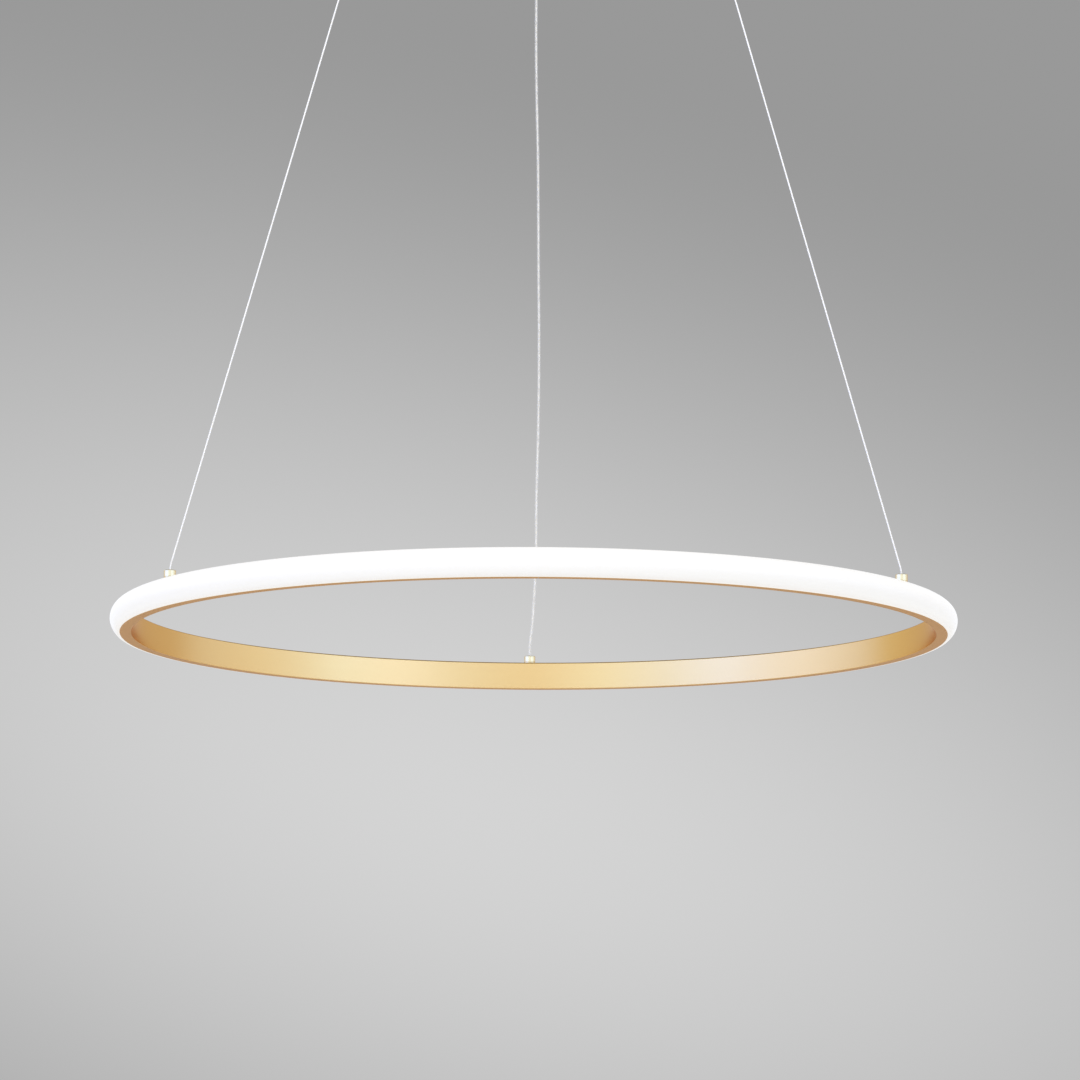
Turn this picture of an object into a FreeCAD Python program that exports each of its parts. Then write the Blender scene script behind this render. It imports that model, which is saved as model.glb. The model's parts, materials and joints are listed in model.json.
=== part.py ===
"""Ring pendant lamp: a gold ring with a domed light cover, hung from a ceiling cup by three lines.

The frame's origin is the middle of the ceiling bracket's top face, which lies on the ceiling.
+Z points up, +X points right and +Y points to the rear, where the feed cord hangs.
All lengths are in millimetres and all angles in degrees.
"""
import FreeCAD, Part
import math
import operator
import os
import Sketcher
from FreeCAD import Placement, Rotation, Vector

SIZES = {
    # Hanging
    "ceiling_drop": (1084.0, "ceiling to the ring's lower face"),
    "exit_inset": (22.0, "from the cup's edge to the holes that the three lines leave by"),
    "rear_angle": (90.0, "direction of the feed cord's line"),
    "left_angle": (210.0, "direction of the left wire"),
    "right_angle": (330.0, "direction of the right wire"),
    "wire_radius": (0.75, "steel suspension wire"),
    "cord_radius": (1.5, "clear feed cord"),
    "line_clearance": (0.2, "around a wire in the bores that guide it"),
    "slip_clearance": (0.05, "around a piece that slides or screws in another"),
    "hole_clearance": (0.1, "around a stud or screw in its hole"),
    # Ring channel
    "ring_inner_radius": (379.6, "gold inner face of the ring"),
    "channel_depth": (10.8, "radial size of the channel"),
    "channel_height": (26.5, "height of the channel"),
    "channel_wall": (1.4, "inner wall of the channel"),
    "channel_flange": (1.3, "upper and lower flanges"),
    "lip_depth": (0.8, "radial size of the flange lips"),
    "lip_height": (1.0, "height of the flange lips"),
    "seam_gap": (0.3, "gap between the rolled ends of the channel"),
    # Diffuser
    "dome_depth": (9.6, "how far the dome stands out of the channel"),
    "dome_margin": (0.2, "step from the channel's faces to the dome's edges"),
    "dome_wall": (1.8, "wall of the dome at its crown"),
    "dome_ceiling": (11.0, "height of the flat inside the dome"),
    "barb_width": (0.9, "radial size of the cover's snap barbs"),
    "barb_height": (0.9, "how far a barb stands behind its lip"),
    "snap_clearance": (0.1, "between the cover's snap and the channel"),
    # Light strip
    "strip_width": (10.0, "width of the light strip"),
    "strip_thickness": (0.3, "thickness of the light strip"),
    "strip_gap_angle": (2.0, "gap between the strip's ends"),
    "chip_width": (2.8, "light chip along the strip"),
    "chip_height": (3.5, "light chip across the strip"),
    "chip_depth": (0.7, "light chip's thickness"),
    "chip_count": (120.0, "light chips on the strip"),
    # Joiner
    "joiner_angle": (8.0, "arc that each joiner plate spans"),
    "joiner_width": (5.4, "radial size of a joiner plate"),
    "joiner_thickness": (1.6, "thickness of a joiner plate"),
    "joiner_screw_radius": (1.5, "set screws of the joiner plates"),
    "joiner_screw_angle": (2.6, "from the seam to a set screw"),
    # Sockets on the ring
    "socket_radius": (5.5, "socket barrel"),
    "socket_height": (7.0, "socket barrel's height"),
    "socket_edge": (0.6, "chamfer on the socket's rim"),
    "socket_thread_depth": (3.4, "threaded length in the socket"),
    "socket_cavity_depth": (2.4, "room for the stop above the screw"),
    "stud_radius": (3.0, "screw that holds a socket"),
    "stud_head_radius": (3.5, "that screw's head"),
    "stud_head_height": (1.5, "height of that head"),
    "stud_slot_width": (0.8, "driver slot in that head"),
    "stud_slot_depth": (0.7, "depth of the driver slot"),
    "stop_radius": (2.0, "crimped stop on a wire's end"),
    "stop_height": (2.2, "height of a crimped stop"),
    "wire_grip_depth": (2.0, "how far a line reaches into its stop"),
    # Ceiling cup
    "cup_radius": (110.0, "outside of the cup"),
    "cup_depth": (45.0, "height of the cup"),
    "cup_wall": (1.2, "sheet of the cup"),
    "cup_edge": (1.2, "chamfer on the cup's lower edge"),
    "cup_screw_drop": (12.0, "ceiling to the cup's side screws"),
    "cup_screw_radius": (2.0, "side screws"),
    "cup_screw_head_radius": (4.5, "side screw's knurled head"),
    "cup_screw_head_length": (5.0, "side screw's head"),
    "cup_screw_reach": (7.0, "side screw inside the cup's wall"),
    # Bracket
    "bracket_width": (28.0, "width of the bracket"),
    "bracket_thickness": (1.5, "steel of the bracket"),
    "bracket_bend": (3.0, "outer bend of the bracket's ears"),
    "ear_length": (20.0, "how far the ears reach down"),
    "ear_gap": (0.3, "between an ear's corners and the cup's wall"),
    "slot_spacing": (140.0, "between the fixing slots' centres"),
    "slot_length": (20.0, "length of a fixing slot"),
    "slot_radius": (2.25, "half width of a fixing slot"),
    "entry_radius": (6.0, "mains entry hole in the bracket"),
    "grommet_bore": (4.5, "bore of the grommet"),
    "grommet_flange_radius": (8.0, "flange of the grommet"),
    "grommet_flange_height": (1.2, "height of that flange"),
    "earth_place": (35.0, "middle of the bracket to the earth screw"),
    "earth_screw_radius": (2.0, "earth screw"),
    "earth_head_radius": (4.0, "earth screw's head"),
    "earth_head_height": (2.8, "height of that head"),
    "earth_washer_radius": (4.8, "cup washer under that head"),
    "earth_washer_height": (0.8, "height of that washer"),
    # Terminal block
    "terminal_place": (38.0, "middle of the bracket to the terminal block"),
    "terminal_length": (30.0, "length of the terminal block"),
    "terminal_depth": (16.0, "size of the block across the bracket"),
    "terminal_height": (14.0, "height of the block"),
    "terminal_pitch": (10.0, "between two ways of the block"),
    "terminal_entry_radius": (2.0, "wire entries of the block"),
    "terminal_well_radius": (2.2, "screw wells of the block"),
    "terminal_well_depth": (4.0, "depth of a screw well"),
    "terminal_screw_height": (3.0, "height of a terminal screw"),
    # Driver
    "driver_length": (110.0, "driver case without its covers"),
    "driver_width": (40.0, "width of the driver"),
    "driver_height": (22.0, "height of the driver"),
    "driver_edge": (2.0, "rounded edges of the driver"),
    "cover_length": (14.0, "terminal cover at each end of the driver"),
    "cover_entry_radius": (3.5, "cord entry in a terminal cover"),
    "pad_length": (30.0, "foam pad under the driver"),
    "pad_thickness": (1.6, "thickness of a foam pad"),
    "pad_spacing": (70.0, "between the pads' middles"),
    # Wire grippers and cord grip
    "barrel_radius": (5.5, "gripper and cord grip below the cup"),
    "barrel_length": (16.0, "gripper barrel below the cup"),
    "barrel_edge": (0.6, "chamfer on the barrel"),
    "nozzle_length": (4.0, "how far the plunger stands out of the barrel"),
    "nozzle_radius": (1.82, "plunger's nozzle"),
    "guide_depth": (3.0, "guide at the barrel's mouth"),
    "collar_radius": (2.25, "plunger's collar, which keeps it in the barrel"),
    "collar_height": (1.0, "height of that collar"),
    "cone_low_radius": (2.35, "narrow end of the clamping cone"),
    "cone_high_radius": (3.09, "wide end of the clamping cone"),
    "cone_length": (7.0, "length of the clamping cone"),
    "jaw_angle": (110.0, "arc that each clamping jaw spans"),
    "cavity_radius": (3.75, "spring room in the gripper"),
    "stem_radius": (5.0, "threaded stem through the cup"),
    "stem_length": (12.0, "length of that stem"),
    "plug_height": (2.0, "plug that closes the spring room"),
    "spring_radius": (3.0, "outside of the spring"),
    "spring_wire": (0.6, "thickness of the spring"),
    "nut_width": (14.0, "across the lock nuts' flats"),
    "nut_height": (3.0, "height of a lock nut"),
    "tail_length": (10.0, "line that stands up out of a grip inside the cup"),
    "bush_wall": (0.9, "wall of the cord grip's bush"),
    "bush_flange_height": (1.0, "bush's flange under the cord grip"),
    "bush_flange_radius": (3.6, "radius of that flange"),
    "bush_depth": (12.0, "how far the bush reaches into the cord grip"),
    "grip_screw_radius": (1.5, "side screw of the cord grip"),
    "grip_screw_level": (6.0, "cord grip's mouth to its side screw"),
    "grip_screw_sink": (0.4, "how far that screw sits below the barrel's face"),
    # Straight ends of the three lines
    "top_run": (8.0, "line straight down out of the cup before it slants"),
    "bottom_run": (2.5, "line straight up out of a socket before it slants"),
}

# The feed cord as it hangs: sideways offset to the right, and height above the ring's lower face.
FEED_ROUTE = (
    (0.0, 46.0),
    (2.4, 64.0),
    (4.4, 96.0),
    (5.8, 138.0),
    (5.4, 187.0),
    (6.8, 242.0),
    (7.3, 297.0),
    (7.1, 352.0),
    (6.1, 408.0),
    (5.5, 464.0),
    (4.8, 520.0),
    (3.0, 576.0),
    (1.9, 632.0),
    (2.1, 688.0),
    (2.5, 744.0),
    (2.3, 800.0),
    (1.7, 856.0),
    (0.9, 912.0),
    (0.4, 967.0),
    (0.3, 996.0),
)

ARC_SHARE = 0.45
PARTS_FOLDER = "parts"


class Measure:
    """A length or an angle, with the sheet formula that gives it."""

    def __init__(self, value, formula):
        self.value = value
        self.formula = formula

    def __add__(self, other):
        return combined(self, other, operator.add, "+")

    def __sub__(self, other):
        return combined(self, other, operator.sub, "-")

    def __rsub__(self, other):
        return combined(other, self, operator.sub, "-")

    def __mul__(self, other):
        return combined(self, other, operator.mul, "*")

    def __truediv__(self, other):
        return combined(self, other, operator.truediv, "/")

    def __neg__(self):
        return self * -1

    def root(self):
        """Returns the square root."""
        return Measure(math.sqrt(self.value), f"sqrt({self.formula})")


def measure(value):
    """Returns value as a Measure, whether it is one or a plain number."""
    if isinstance(value, Measure):
        return value
    return Measure(float(value), f"({value})")


def combined(left, right, action, sign):
    """Joins two measures into one, in number and in formula."""
    first, second = measure(left), measure(right)
    return Measure(action(first.value, second.value), f"({first.formula} {sign} {second.formula})")


def size(alias):
    """Returns one size of the sheet."""
    return Measure(float(SHEET.get(alias)), f"Sizes.{alias}")


def along(radius, angle):
    """Returns the X and Y of a point at that radius and angle."""
    across = Measure(radius.value * math.cos(math.radians(angle.value)), f"({radius.formula} * cos({angle.formula}))")
    deep = Measure(radius.value * math.sin(math.radians(angle.value)), f"({radius.formula} * sin({angle.formula}))")
    return across, deep


def arc_angle(length, radius):
    """Returns the angle that an arc of that length spans."""
    return length / radius * 180 / math.pi


def fill_sheet(document):
    """Writes the driving sizes into the document's sheet and returns it."""
    sheet = document.addObject("Spreadsheet::Sheet", "Sizes")
    for row, (alias, (value, meaning)) in enumerate(SIZES.items(), start=1):
        sheet.set(f"A{row}", meaning)
        sheet.set(f"B{row}", str(value))
        sheet.setAlias(f"B{row}", alias)
    document.recompute()
    return sheet


DOCUMENT = FreeCAD.newDocument("RingPendant")
SHEET = fill_sheet(DOCUMENT)
KEPT = []


def keep(item, label):
    """Names a finished sub-part and puts it on the list of files to write."""
    item.Label = label
    KEPT.append(item)
    return item


def place(item, x=0, y=0, z=0, turn=0, axis=(0, 0, 1)):
    """Puts an item at x, y, z, turned about the axis, all bound to the sheet."""
    spots = [measure(spot) for spot in (x, y, z)]
    angle = measure(turn)
    base = Vector(*(spot.value for spot in spots))
    item.Placement = Placement(base, Rotation(Vector(*axis), angle.value))
    for name, spot in zip("xyz", spots):
        item.setExpression(f"Placement.Base.{name}", spot.formula)
    item.setExpression("Placement.Rotation.Angle", angle.formula)
    return item


def new_body(name, several=False):
    """Starts a body. With several, it may hold more than one solid."""
    body = DOCUMENT.addObject("PartDesign::Body", name)
    body.AllowCompound = several
    return body


def origin_part(body, role):
    """Returns the body's own origin plane or axis of that role."""
    return next(item for item in body.Origin.OriginFeatures if item.Role == role)


def new_sketch(body, plane, lift=None):
    """Starts a sketch on one of the body's planes, lifted off it if asked."""
    sketch = body.newObject("Sketcher::SketchObject", f"{body.Name}_outline")
    sketch.AttachmentSupport = (origin_part(body, plane), [""])
    sketch.MapMode = "FlatFace"
    if lift is not None:
        sketch.AttachmentOffset = Placement(Vector(0, 0, lift.value), Rotation())
        sketch.setExpression("AttachmentOffset.Base.z", lift.formula)
    return sketch


def bind(sketch, constraint, formula):
    """Adds a constraint and ties its value to the sheet."""
    number = sketch.addConstraint(constraint)
    sketch.setExpression(f"Constraints[{number}]", formula)


def pin_point(sketch, shape, end, x, y):
    """Fixes one end of a sketched shape at x, y."""
    for name, spot, axis in (("DistanceX", measure(x), -2), ("DistanceY", measure(y), -1)):
        if spot.value == 0:
            sketch.addConstraint(Sketcher.Constraint("PointOnObject", shape, end, axis))
        else:
            bind(sketch, Sketcher.Constraint(name, -1, 1, shape, end, spot.value), spot.formula)


def arc_between(start, finish, radius):
    """Returns an arc from start to finish, and whether it runs from start.

    It bulges to the right of the way there, or to the left where the radius is negative.
    """
    chord = finish - start
    middle = (start + finish) * 0.5
    rise = math.sqrt(radius * radius - chord.Length * chord.Length / 4)
    side = Vector(-chord.y, chord.x, 0).normalize() * math.copysign(rise, radius)
    centre = middle + side
    first = math.atan2(start.y - centre.y, start.x - centre.x)
    last = math.atan2(finish.y - centre.y, finish.x - centre.x)
    circle = Part.Circle(centre, Vector(0, 0, 1), abs(radius))
    if radius > 0:
        return Part.ArcOfCircle(circle, first, last), True
    return Part.ArcOfCircle(circle, last, first), False


def draw_outline(sketch, corners):
    """Draws a closed outline from corners (x, y), or (x, y, radius) where an arc leads to the next."""
    spots = [Vector(measure(corner[0]).value, measure(corner[1]).value, 0) for corner in corners]
    sides = []
    for number, corner in enumerate(corners):
        start, finish = spots[number], spots[(number + 1) % len(corners)]
        if len(corner) == 3:
            arc, forward = arc_between(start, finish, corner[2].value)
            shape = sketch.addGeometry(arc)
            sides.append((shape, 1 if forward else 2, 2 if forward else 1))
        else:
            shape = sketch.addGeometry(Part.LineSegment(start, finish))
            sides.append((shape, 1, 2))
    for number, (shape, _, last_end) in enumerate(sides):
        next_shape, next_start, _ = sides[(number + 1) % len(sides)]
        sketch.addConstraint(Sketcher.Constraint("Coincident", shape, last_end, next_shape, next_start))
    for (shape, first_end, _), corner in zip(sides, corners):
        pin_point(sketch, shape, first_end, corner[0], corner[1])
        if len(corner) == 3:
            radius = corner[2] if corner[2].value > 0 else -corner[2]
            bind(sketch, Sketcher.Constraint("Radius", shape, radius.value), radius.formula)


def draw_circle(sketch, x, y, radius):
    """Draws a circle about x, y."""
    centre = Vector(measure(x).value, measure(y).value, 0)
    shape = sketch.addGeometry(Part.Circle(centre, Vector(0, 0, 1), radius.value))
    pin_point(sketch, shape, 3, x, y)
    bind(sketch, Sketcher.Constraint("Radius", shape, radius.value), radius.formula)


def draw_box(sketch, low_x, low_y, high_x, high_y):
    """Draws a rectangle between two corners."""
    draw_outline(sketch, [(low_x, low_y), (high_x, low_y), (high_x, high_y), (low_x, high_y)])


def revolve(body, outlines, angle=360, axis="V_Axis"):
    """Turns outlines in the XZ plane about the sketch's axis, evenly to both sides of the plane."""
    sketch = new_sketch(body, "XZ_Plane")
    for outline in outlines:
        draw_outline(sketch, outline)
    feature = body.newObject("PartDesign::Revolution", f"{body.Name}_turned")
    feature.Profile = sketch
    feature.ReferenceAxis = (sketch, [axis])
    sweep = measure(angle)
    feature.Angle = sweep.value
    if sweep.value < 360:
        feature.Midplane = True
        feature.setExpression("Angle", sweep.formula)
    body.Tip = feature
    return feature


def turned(name, *outlines):
    """Makes a body that is one turned piece."""
    body = new_body(name)
    revolve(body, outlines)
    return body


def pad(body, sketch, length, middle=False):
    """Raises a sketch by a length, or to both sides of its plane."""
    feature = body.newObject("PartDesign::Pad", f"{body.Name}_raised")
    feature.Profile = sketch
    feature.Length = length.value
    feature.setExpression("Length", length.formula)
    feature.Midplane = middle
    body.Tip = feature
    return feature


def pocket(body, sketch, depth=None, backwards=False, middle=False):
    """Cuts a sketch into the body, all the way through where no depth is given."""
    DOCUMENT.recompute()
    before = body.Shape.Volume
    feature = body.newObject("PartDesign::Pocket", f"{body.Name}_cut")
    feature.Profile = sketch
    feature.Reversed = backwards
    feature.Midplane = middle
    if depth is None:
        feature.Type = "ThroughAll"
    else:
        feature.Length = depth.value
        feature.setExpression("Length", depth.formula)
    body.Tip = feature
    DOCUMENT.recompute()
    if not body.Shape.Volume < before:
        raise RuntimeError(f"{feature.Name} removes nothing")
    return feature


def repeat_round(body, features, count):
    """Repeats features evenly round the body's Z axis."""
    pattern = body.newObject("PartDesign::PolarPattern", f"{body.Name}_round")
    pattern.Originals = features
    pattern.Axis = (origin_part(body, "Z_Axis"), [""])
    pattern.Angle = 360
    copies = measure(count)
    pattern.Occurrences = int(round(copies.value))
    pattern.setExpression("Occurrences", copies.formula)
    body.Tip = pattern
    DOCUMENT.recompute()
    return pattern


def mirror_across(body, features, plane):
    """Repeats features on the other side of one of the body's planes."""
    feature = body.newObject("PartDesign::Mirrored", f"{body.Name}_mirror")
    feature.Originals = features
    feature.MirrorPlane = (origin_part(body, plane), [""])
    body.Tip = feature
    DOCUMENT.recompute()
    return feature


def solid_cylinder(name, radius, height):
    """Makes a plain cylinder that stands on its own origin."""
    item = DOCUMENT.addObject("Part::Cylinder", name)
    item.setExpression("Radius", radius.formula)
    item.setExpression("Height", height.formula)
    return item


def group(name, items):
    """Joins separate solids into one node."""
    compound = DOCUMENT.addObject("Part::Compound", name)
    compound.Links = items
    return compound


# Levels and places that several pieces share, from the ceiling down.
def cup_underside():
    """Level of the cup's lower face."""
    return -size("cup_depth")


def line_exit():
    """Level at which the three lines leave their grips."""
    return cup_underside() - size("barrel_length") - size("nozzle_length")


def ring_bottom():
    """Level of the ring's lower face."""
    return -size("ceiling_drop")


def ring_top():
    """Level of the ring's upper face."""
    return ring_bottom() + size("channel_height")


def channel_outer():
    """Radius of the channel's lips."""
    return size("ring_inner_radius") + size("channel_depth")


def socket_circle():
    """Radius of the circle of the sockets, midway on the channel."""
    return size("ring_inner_radius") + size("channel_depth") / 2


def exit_circle():
    """Radius of the circle on which the three lines leave the cup."""
    return size("cup_radius") - size("exit_inset")


def wall_outer():
    """Radius of the channel wall's hidden face."""
    return size("ring_inner_radius") + size("channel_wall")


def socket_level(height):
    """Level at a height above the sockets' lower face."""
    return ring_top() + height


def stop_foot():
    """Height of a stop's foot above the sockets' lower face."""
    return size("socket_thread_depth") + size("socket_cavity_depth") - size("stop_height") - size("slip_clearance")


def line_foot():
    """Height of a line's lower end above the sockets' lower face."""
    return stop_foot() + size("stop_height") - size("wire_grip_depth")


# Ring
def ring_channel():
    """Rolled channel, open outwards, whose two ends meet at the front."""
    inner, outer, wall = size("ring_inner_radius"), channel_outer(), wall_outer()
    top, flange = size("channel_height"), size("channel_flange")
    lip_in, lip_low = outer - size("lip_depth"), flange + size("lip_height")
    lip_high = top - lip_low
    body = new_body("ring_channel")
    seam = arc_angle(size("seam_gap"), size("ring_inner_radius"))
    revolve(body, [[
        (inner, 0), (outer, 0), (outer, lip_low), (lip_in, lip_low), (lip_in, flange), (wall, flange),
        (wall, top - flange), (lip_in, top - flange), (lip_in, lip_high), (outer, lip_high),
        (outer, top), (inner, top),
    ]], 360 - seam)
    sketch = new_sketch(body, "XY_Plane", top)
    draw_circle(sketch, socket_circle(), 0, size("stud_radius") + size("hole_clearance"))
    hole = pocket(body, sketch, flange + size("lip_height"))
    repeat_round(body, [hole], 3)
    place(body, z=ring_bottom(), turn=size("rear_angle"))
    keep(body, "ring_channel")


def ring_diffuser():
    """Domed opal cover, hollow inside, with a barb behind each of the channel's lips."""
    clear = size("snap_clearance")
    edge = channel_outer() + clear
    low, high = size("dome_margin"), size("channel_height") - size("dome_margin")
    depth = size("dome_depth") - clear
    half = (high - low) / 2
    radius = (half * half + depth * depth) / (depth * 2)
    neck_low = size("channel_flange") + size("lip_height") + clear
    neck_high = size("channel_height") - neck_low
    barb_out = channel_outer() - size("lip_depth") - clear
    barb_in = barb_out - size("barb_width")
    barb_low = neck_low - size("barb_height")
    barb_high = size("channel_height") - barb_low
    inside = channel_outer() + size("dome_depth") - size("dome_wall")
    flat_low = (size("channel_height") - size("dome_ceiling")) / 2
    flat_high = size("channel_height") - flat_low
    mouth_low = neck_low + size("barb_height")
    mouth_high = size("channel_height") - mouth_low
    body = turned("ring_diffuser", [
        (edge, low, radius), (edge, high), (edge, neck_high), (barb_out, neck_high), (barb_out, barb_high),
        (barb_in, barb_high), (barb_in, mouth_high), (inside, flat_high), (inside, flat_low),
        (barb_in, mouth_low), (barb_in, barb_low), (barb_out, barb_low), (barb_out, neck_low), (edge, neck_low),
    ])
    place(body, z=ring_bottom())
    keep(body, "ring_diffuser")


def strip_inner():
    """Radius of the light strip's back."""
    return wall_outer() + size("slip_clearance")


def led_strip():
    """Flexible light strip on the channel's wall, with its gap where the feed comes in."""
    body = new_body("led_strip")
    low = (size("channel_height") - size("strip_width")) / 2
    back, front = strip_inner(), strip_inner() + size("strip_thickness")
    high = low + size("strip_width")
    revolve(body, [[(back, low), (front, low), (front, high), (back, high)]], 360 - size("strip_gap_angle"))
    place(body, z=ring_bottom(), turn=size("rear_angle") - 180)
    keep(body, "led_strip")


def led_chips():
    """Light chips round the strip, half a step away from its gap."""
    body = new_body("led_chips", several=True)
    sketch = new_sketch(body, "XZ_Plane")
    back = strip_inner() + size("strip_thickness")
    low = (size("channel_height") - size("chip_height")) / 2
    draw_box(sketch, back, low, back + size("chip_depth"), low + size("chip_height"))
    chip = pad(body, sketch, size("chip_width"), middle=True)
    repeat_round(body, [chip], size("chip_count"))
    place(body, z=ring_bottom(), turn=size("rear_angle") + measure(180) / size("chip_count"))
    keep(body, "led_chips")


def joiner_inner():
    """Radius of the joiner plates' inner edge, midway in the channel."""
    room_out = channel_outer() - size("lip_depth") - size("snap_clearance") - size("barb_width")
    return (wall_outer() + room_out - size("joiner_width")) / 2


def joiner_plates():
    """Upper and lower plate that bridge the channel's seam, with holes for their set screws."""
    inner = joiner_inner()
    outer = inner + size("joiner_width")
    flange, thick, top = size("channel_flange"), size("joiner_thickness"), size("channel_height")
    body = new_body("joiner_plates", several=True)
    revolve(body, [
        [(inner, flange), (outer, flange), (outer, flange + thick), (inner, flange + thick)],
        [(inner, top - flange - thick), (outer, top - flange - thick), (outer, top - flange), (inner, top - flange)],
    ], size("joiner_angle"))
    sketch = new_sketch(body, "XY_Plane")
    x, y = along(inner + size("joiner_width") / 2, size("joiner_screw_angle"))
    draw_circle(sketch, x, y, size("joiner_screw_radius") + size("slip_clearance"))
    hole = pocket(body, sketch, backwards=True)
    mirror_across(body, [hole], "XZ_Plane")
    place(body, z=ring_bottom(), turn=size("rear_angle") - 180)
    keep(body, "joiner_plates")


def joiner_screws():
    """Set screws that press the joiner plates off the flanges, two in each plate."""
    screws = []
    middle = joiner_inner() + size("joiner_width") / 2
    low = ring_bottom() + size("channel_flange")
    high = ring_top() - size("channel_flange") - size("joiner_thickness")
    for side, turn in (("left", -size("joiner_screw_angle")), ("right", size("joiner_screw_angle"))):
        x, y = along(middle, size("rear_angle") - 180 + turn)
        for level, z in (("low", low), ("high", high)):
            screw = solid_cylinder(f"joiner_screw_{side}_{level}", size("joiner_screw_radius"),
                                   size("joiner_thickness"))
            screws.append(place(screw, x, y, z))
    keep(group("joiner_screws", screws), "joiner_screws")


def ring_socket(side, line_radius):
    """Gold barrel on the ring that a line goes into, screwed on from inside the channel."""
    bore = size("stud_radius") + size("slip_clearance")
    mouth = line_radius + size("line_clearance")
    roof = size("socket_thread_depth") + size("socket_cavity_depth")
    radius, height, edge = size("socket_radius"), size("socket_height"), size("socket_edge")
    body = turned(f"ring_socket_{side}", [
        (bore, 0), (radius, 0), (radius, height - edge), (radius - edge, height),
        (mouth, height), (mouth, roof), (bore, roof),
    ])
    x, y = along(socket_circle(), size(f"{side}_angle"))
    place(body, x, y, ring_top())
    keep(body, f"ring_socket_{side}")


def socket_stud(side):
    """Slotted screw that holds a socket through the channel's upper flange."""
    angle = size(f"{side}_angle")
    shank, head = size("stud_radius"), size("stud_head_radius")
    head_height = size("stud_head_height")
    top = head_height + size("channel_flange") + size("socket_thread_depth") - size("hole_clearance")
    body = turned(f"socket_stud_{side}", [
        (0, 0), (head, 0), (head, head_height), (shank, head_height), (shank, top), (0, top),
    ])
    sketch = new_sketch(body, "XY_Plane")
    half = size("stud_slot_width") / 2
    draw_box(sketch, -head * 2, -half, head * 2, half)
    pocket(body, sketch, size("stud_slot_depth"), backwards=True)
    x, y = along(socket_circle(), angle)
    place(body, x, y, ring_top() - size("channel_flange") - head_height, angle)
    keep(body, f"socket_stud_{side}")


def line_stop(name, side, line_radius):
    """Crimped stop on a line's lower end, held under the socket's roof."""
    bore = line_radius + size("slip_clearance")
    outer, height = size("stop_radius"), size("stop_height")
    body = turned(name, [(bore, 0), (outer, 0), (outer, height), (bore, height)])
    x, y = along(socket_circle(), size(f"{side}_angle"))
    place(body, x, y, socket_level(stop_foot()))
    keep(body, name)


# Ceiling cup and bracket
def ceiling_cup():
    """Drawn cup that hides the driver, with three holes below and two at its sides."""
    radius, height, wall, edge = size("cup_radius"), size("cup_depth"), size("cup_wall"), size("cup_edge")
    body = turned("ceiling_cup", [
        (0, 0), (radius - edge, 0), (radius, edge), (radius, height),
        (radius - wall, height), (radius - wall, wall), (0, wall),
    ])
    exits = new_sketch(body, "XY_Plane")
    x, y = along(exit_circle(), size("rear_angle"))
    draw_circle(exits, 0, exit_circle(), size("stem_radius") + size("hole_clearance"))
    hole = pocket(body, exits, wall * 2, backwards=True)
    repeat_round(body, [hole], 3)
    sides = new_sketch(body, "YZ_Plane")
    level = size("cup_depth") - size("cup_screw_drop")
    draw_circle(sides, 0, level, size("cup_screw_radius") + size("hole_clearance"))
    pocket(body, sides, middle=True)
    place(body, z=cup_underside())
    keep(body, "ceiling_cup")


def ear_outer():
    """Distance from the middle to an ear's outer face, whose corners come nearest to the cup's wall."""
    corner, half = size("cup_radius") - size("cup_wall") - size("ear_gap"), size("bracket_width") / 2
    return (corner * corner - half * half).root()


def ceiling_bracket():
    """Steel bar with turned-down ears, fixing slots, a mains entry and an earth hole."""
    half, thick, bend, ear = ear_outer(), size("bracket_thickness"), size("bracket_bend"), size("ear_length")
    inner = half - thick
    body = new_body("ceiling_bracket")
    profile = new_sketch(body, "XZ_Plane")
    draw_outline(profile, [
        (inner, -ear), (half, -ear), (half, -bend, bend), (half - bend, 0), (bend - half, 0, bend),
        (-half, -bend), (-half, -ear), (-inner, -ear), (-inner, -bend, -(bend - thick)),
        (bend - half, -thick), (half - bend, -thick, -(bend - thick)), (inner, -bend),
    ])
    pad(body, profile, size("bracket_width"), middle=True)
    plan = new_sketch(body, "XY_Plane")
    radius, centre = size("slot_radius"), size("slot_spacing") / 2
    reach = size("slot_length") / 2 - radius
    draw_outline(plan, [
        (centre - reach, -radius), (centre + reach, -radius, radius), (centre + reach + radius, 0, radius),
        (centre + reach, radius), (centre - reach, radius, radius), (centre - reach - radius, 0, radius),
    ])
    slot = pocket(body, plan, thick * 2, middle=True)
    mirror_across(body, [slot], "YZ_Plane")
    holes = new_sketch(body, "XY_Plane")
    draw_circle(holes, 0, 0, size("entry_radius") + size("hole_clearance"))
    draw_circle(holes, -size("earth_place"), 0, size("earth_screw_radius") + size("slip_clearance"))
    pocket(body, holes, thick * 2, middle=True)
    ears = new_sketch(body, "YZ_Plane")
    draw_circle(ears, 0, -size("cup_screw_drop"), size("cup_screw_radius") + size("slip_clearance"))
    pocket(body, ears, middle=True)
    keep(place(body), "ceiling_bracket")


def cup_screws():
    """Knurled screws at the cup's two sides, into the bracket's ears."""
    shank, head = size("cup_screw_radius"), size("cup_screw_head_radius")
    start, wall = size("cup_radius") - size("cup_wall") - size("cup_screw_reach"), size("cup_radius")
    finish = wall + size("cup_screw_head_length")
    edge = size("barrel_edge")
    body = new_body("cup_screws", several=True)
    screw = revolve(body, [[
        (start, 0), (finish, 0), (finish, head - edge), (finish - edge, head), (wall, head),
        (wall, shank), (start, shank),
    ]], axis="H_Axis")
    repeat_round(body, [screw], 2)
    place(body, z=-size("cup_screw_drop"))
    keep(body, "cup_screws")


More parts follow.
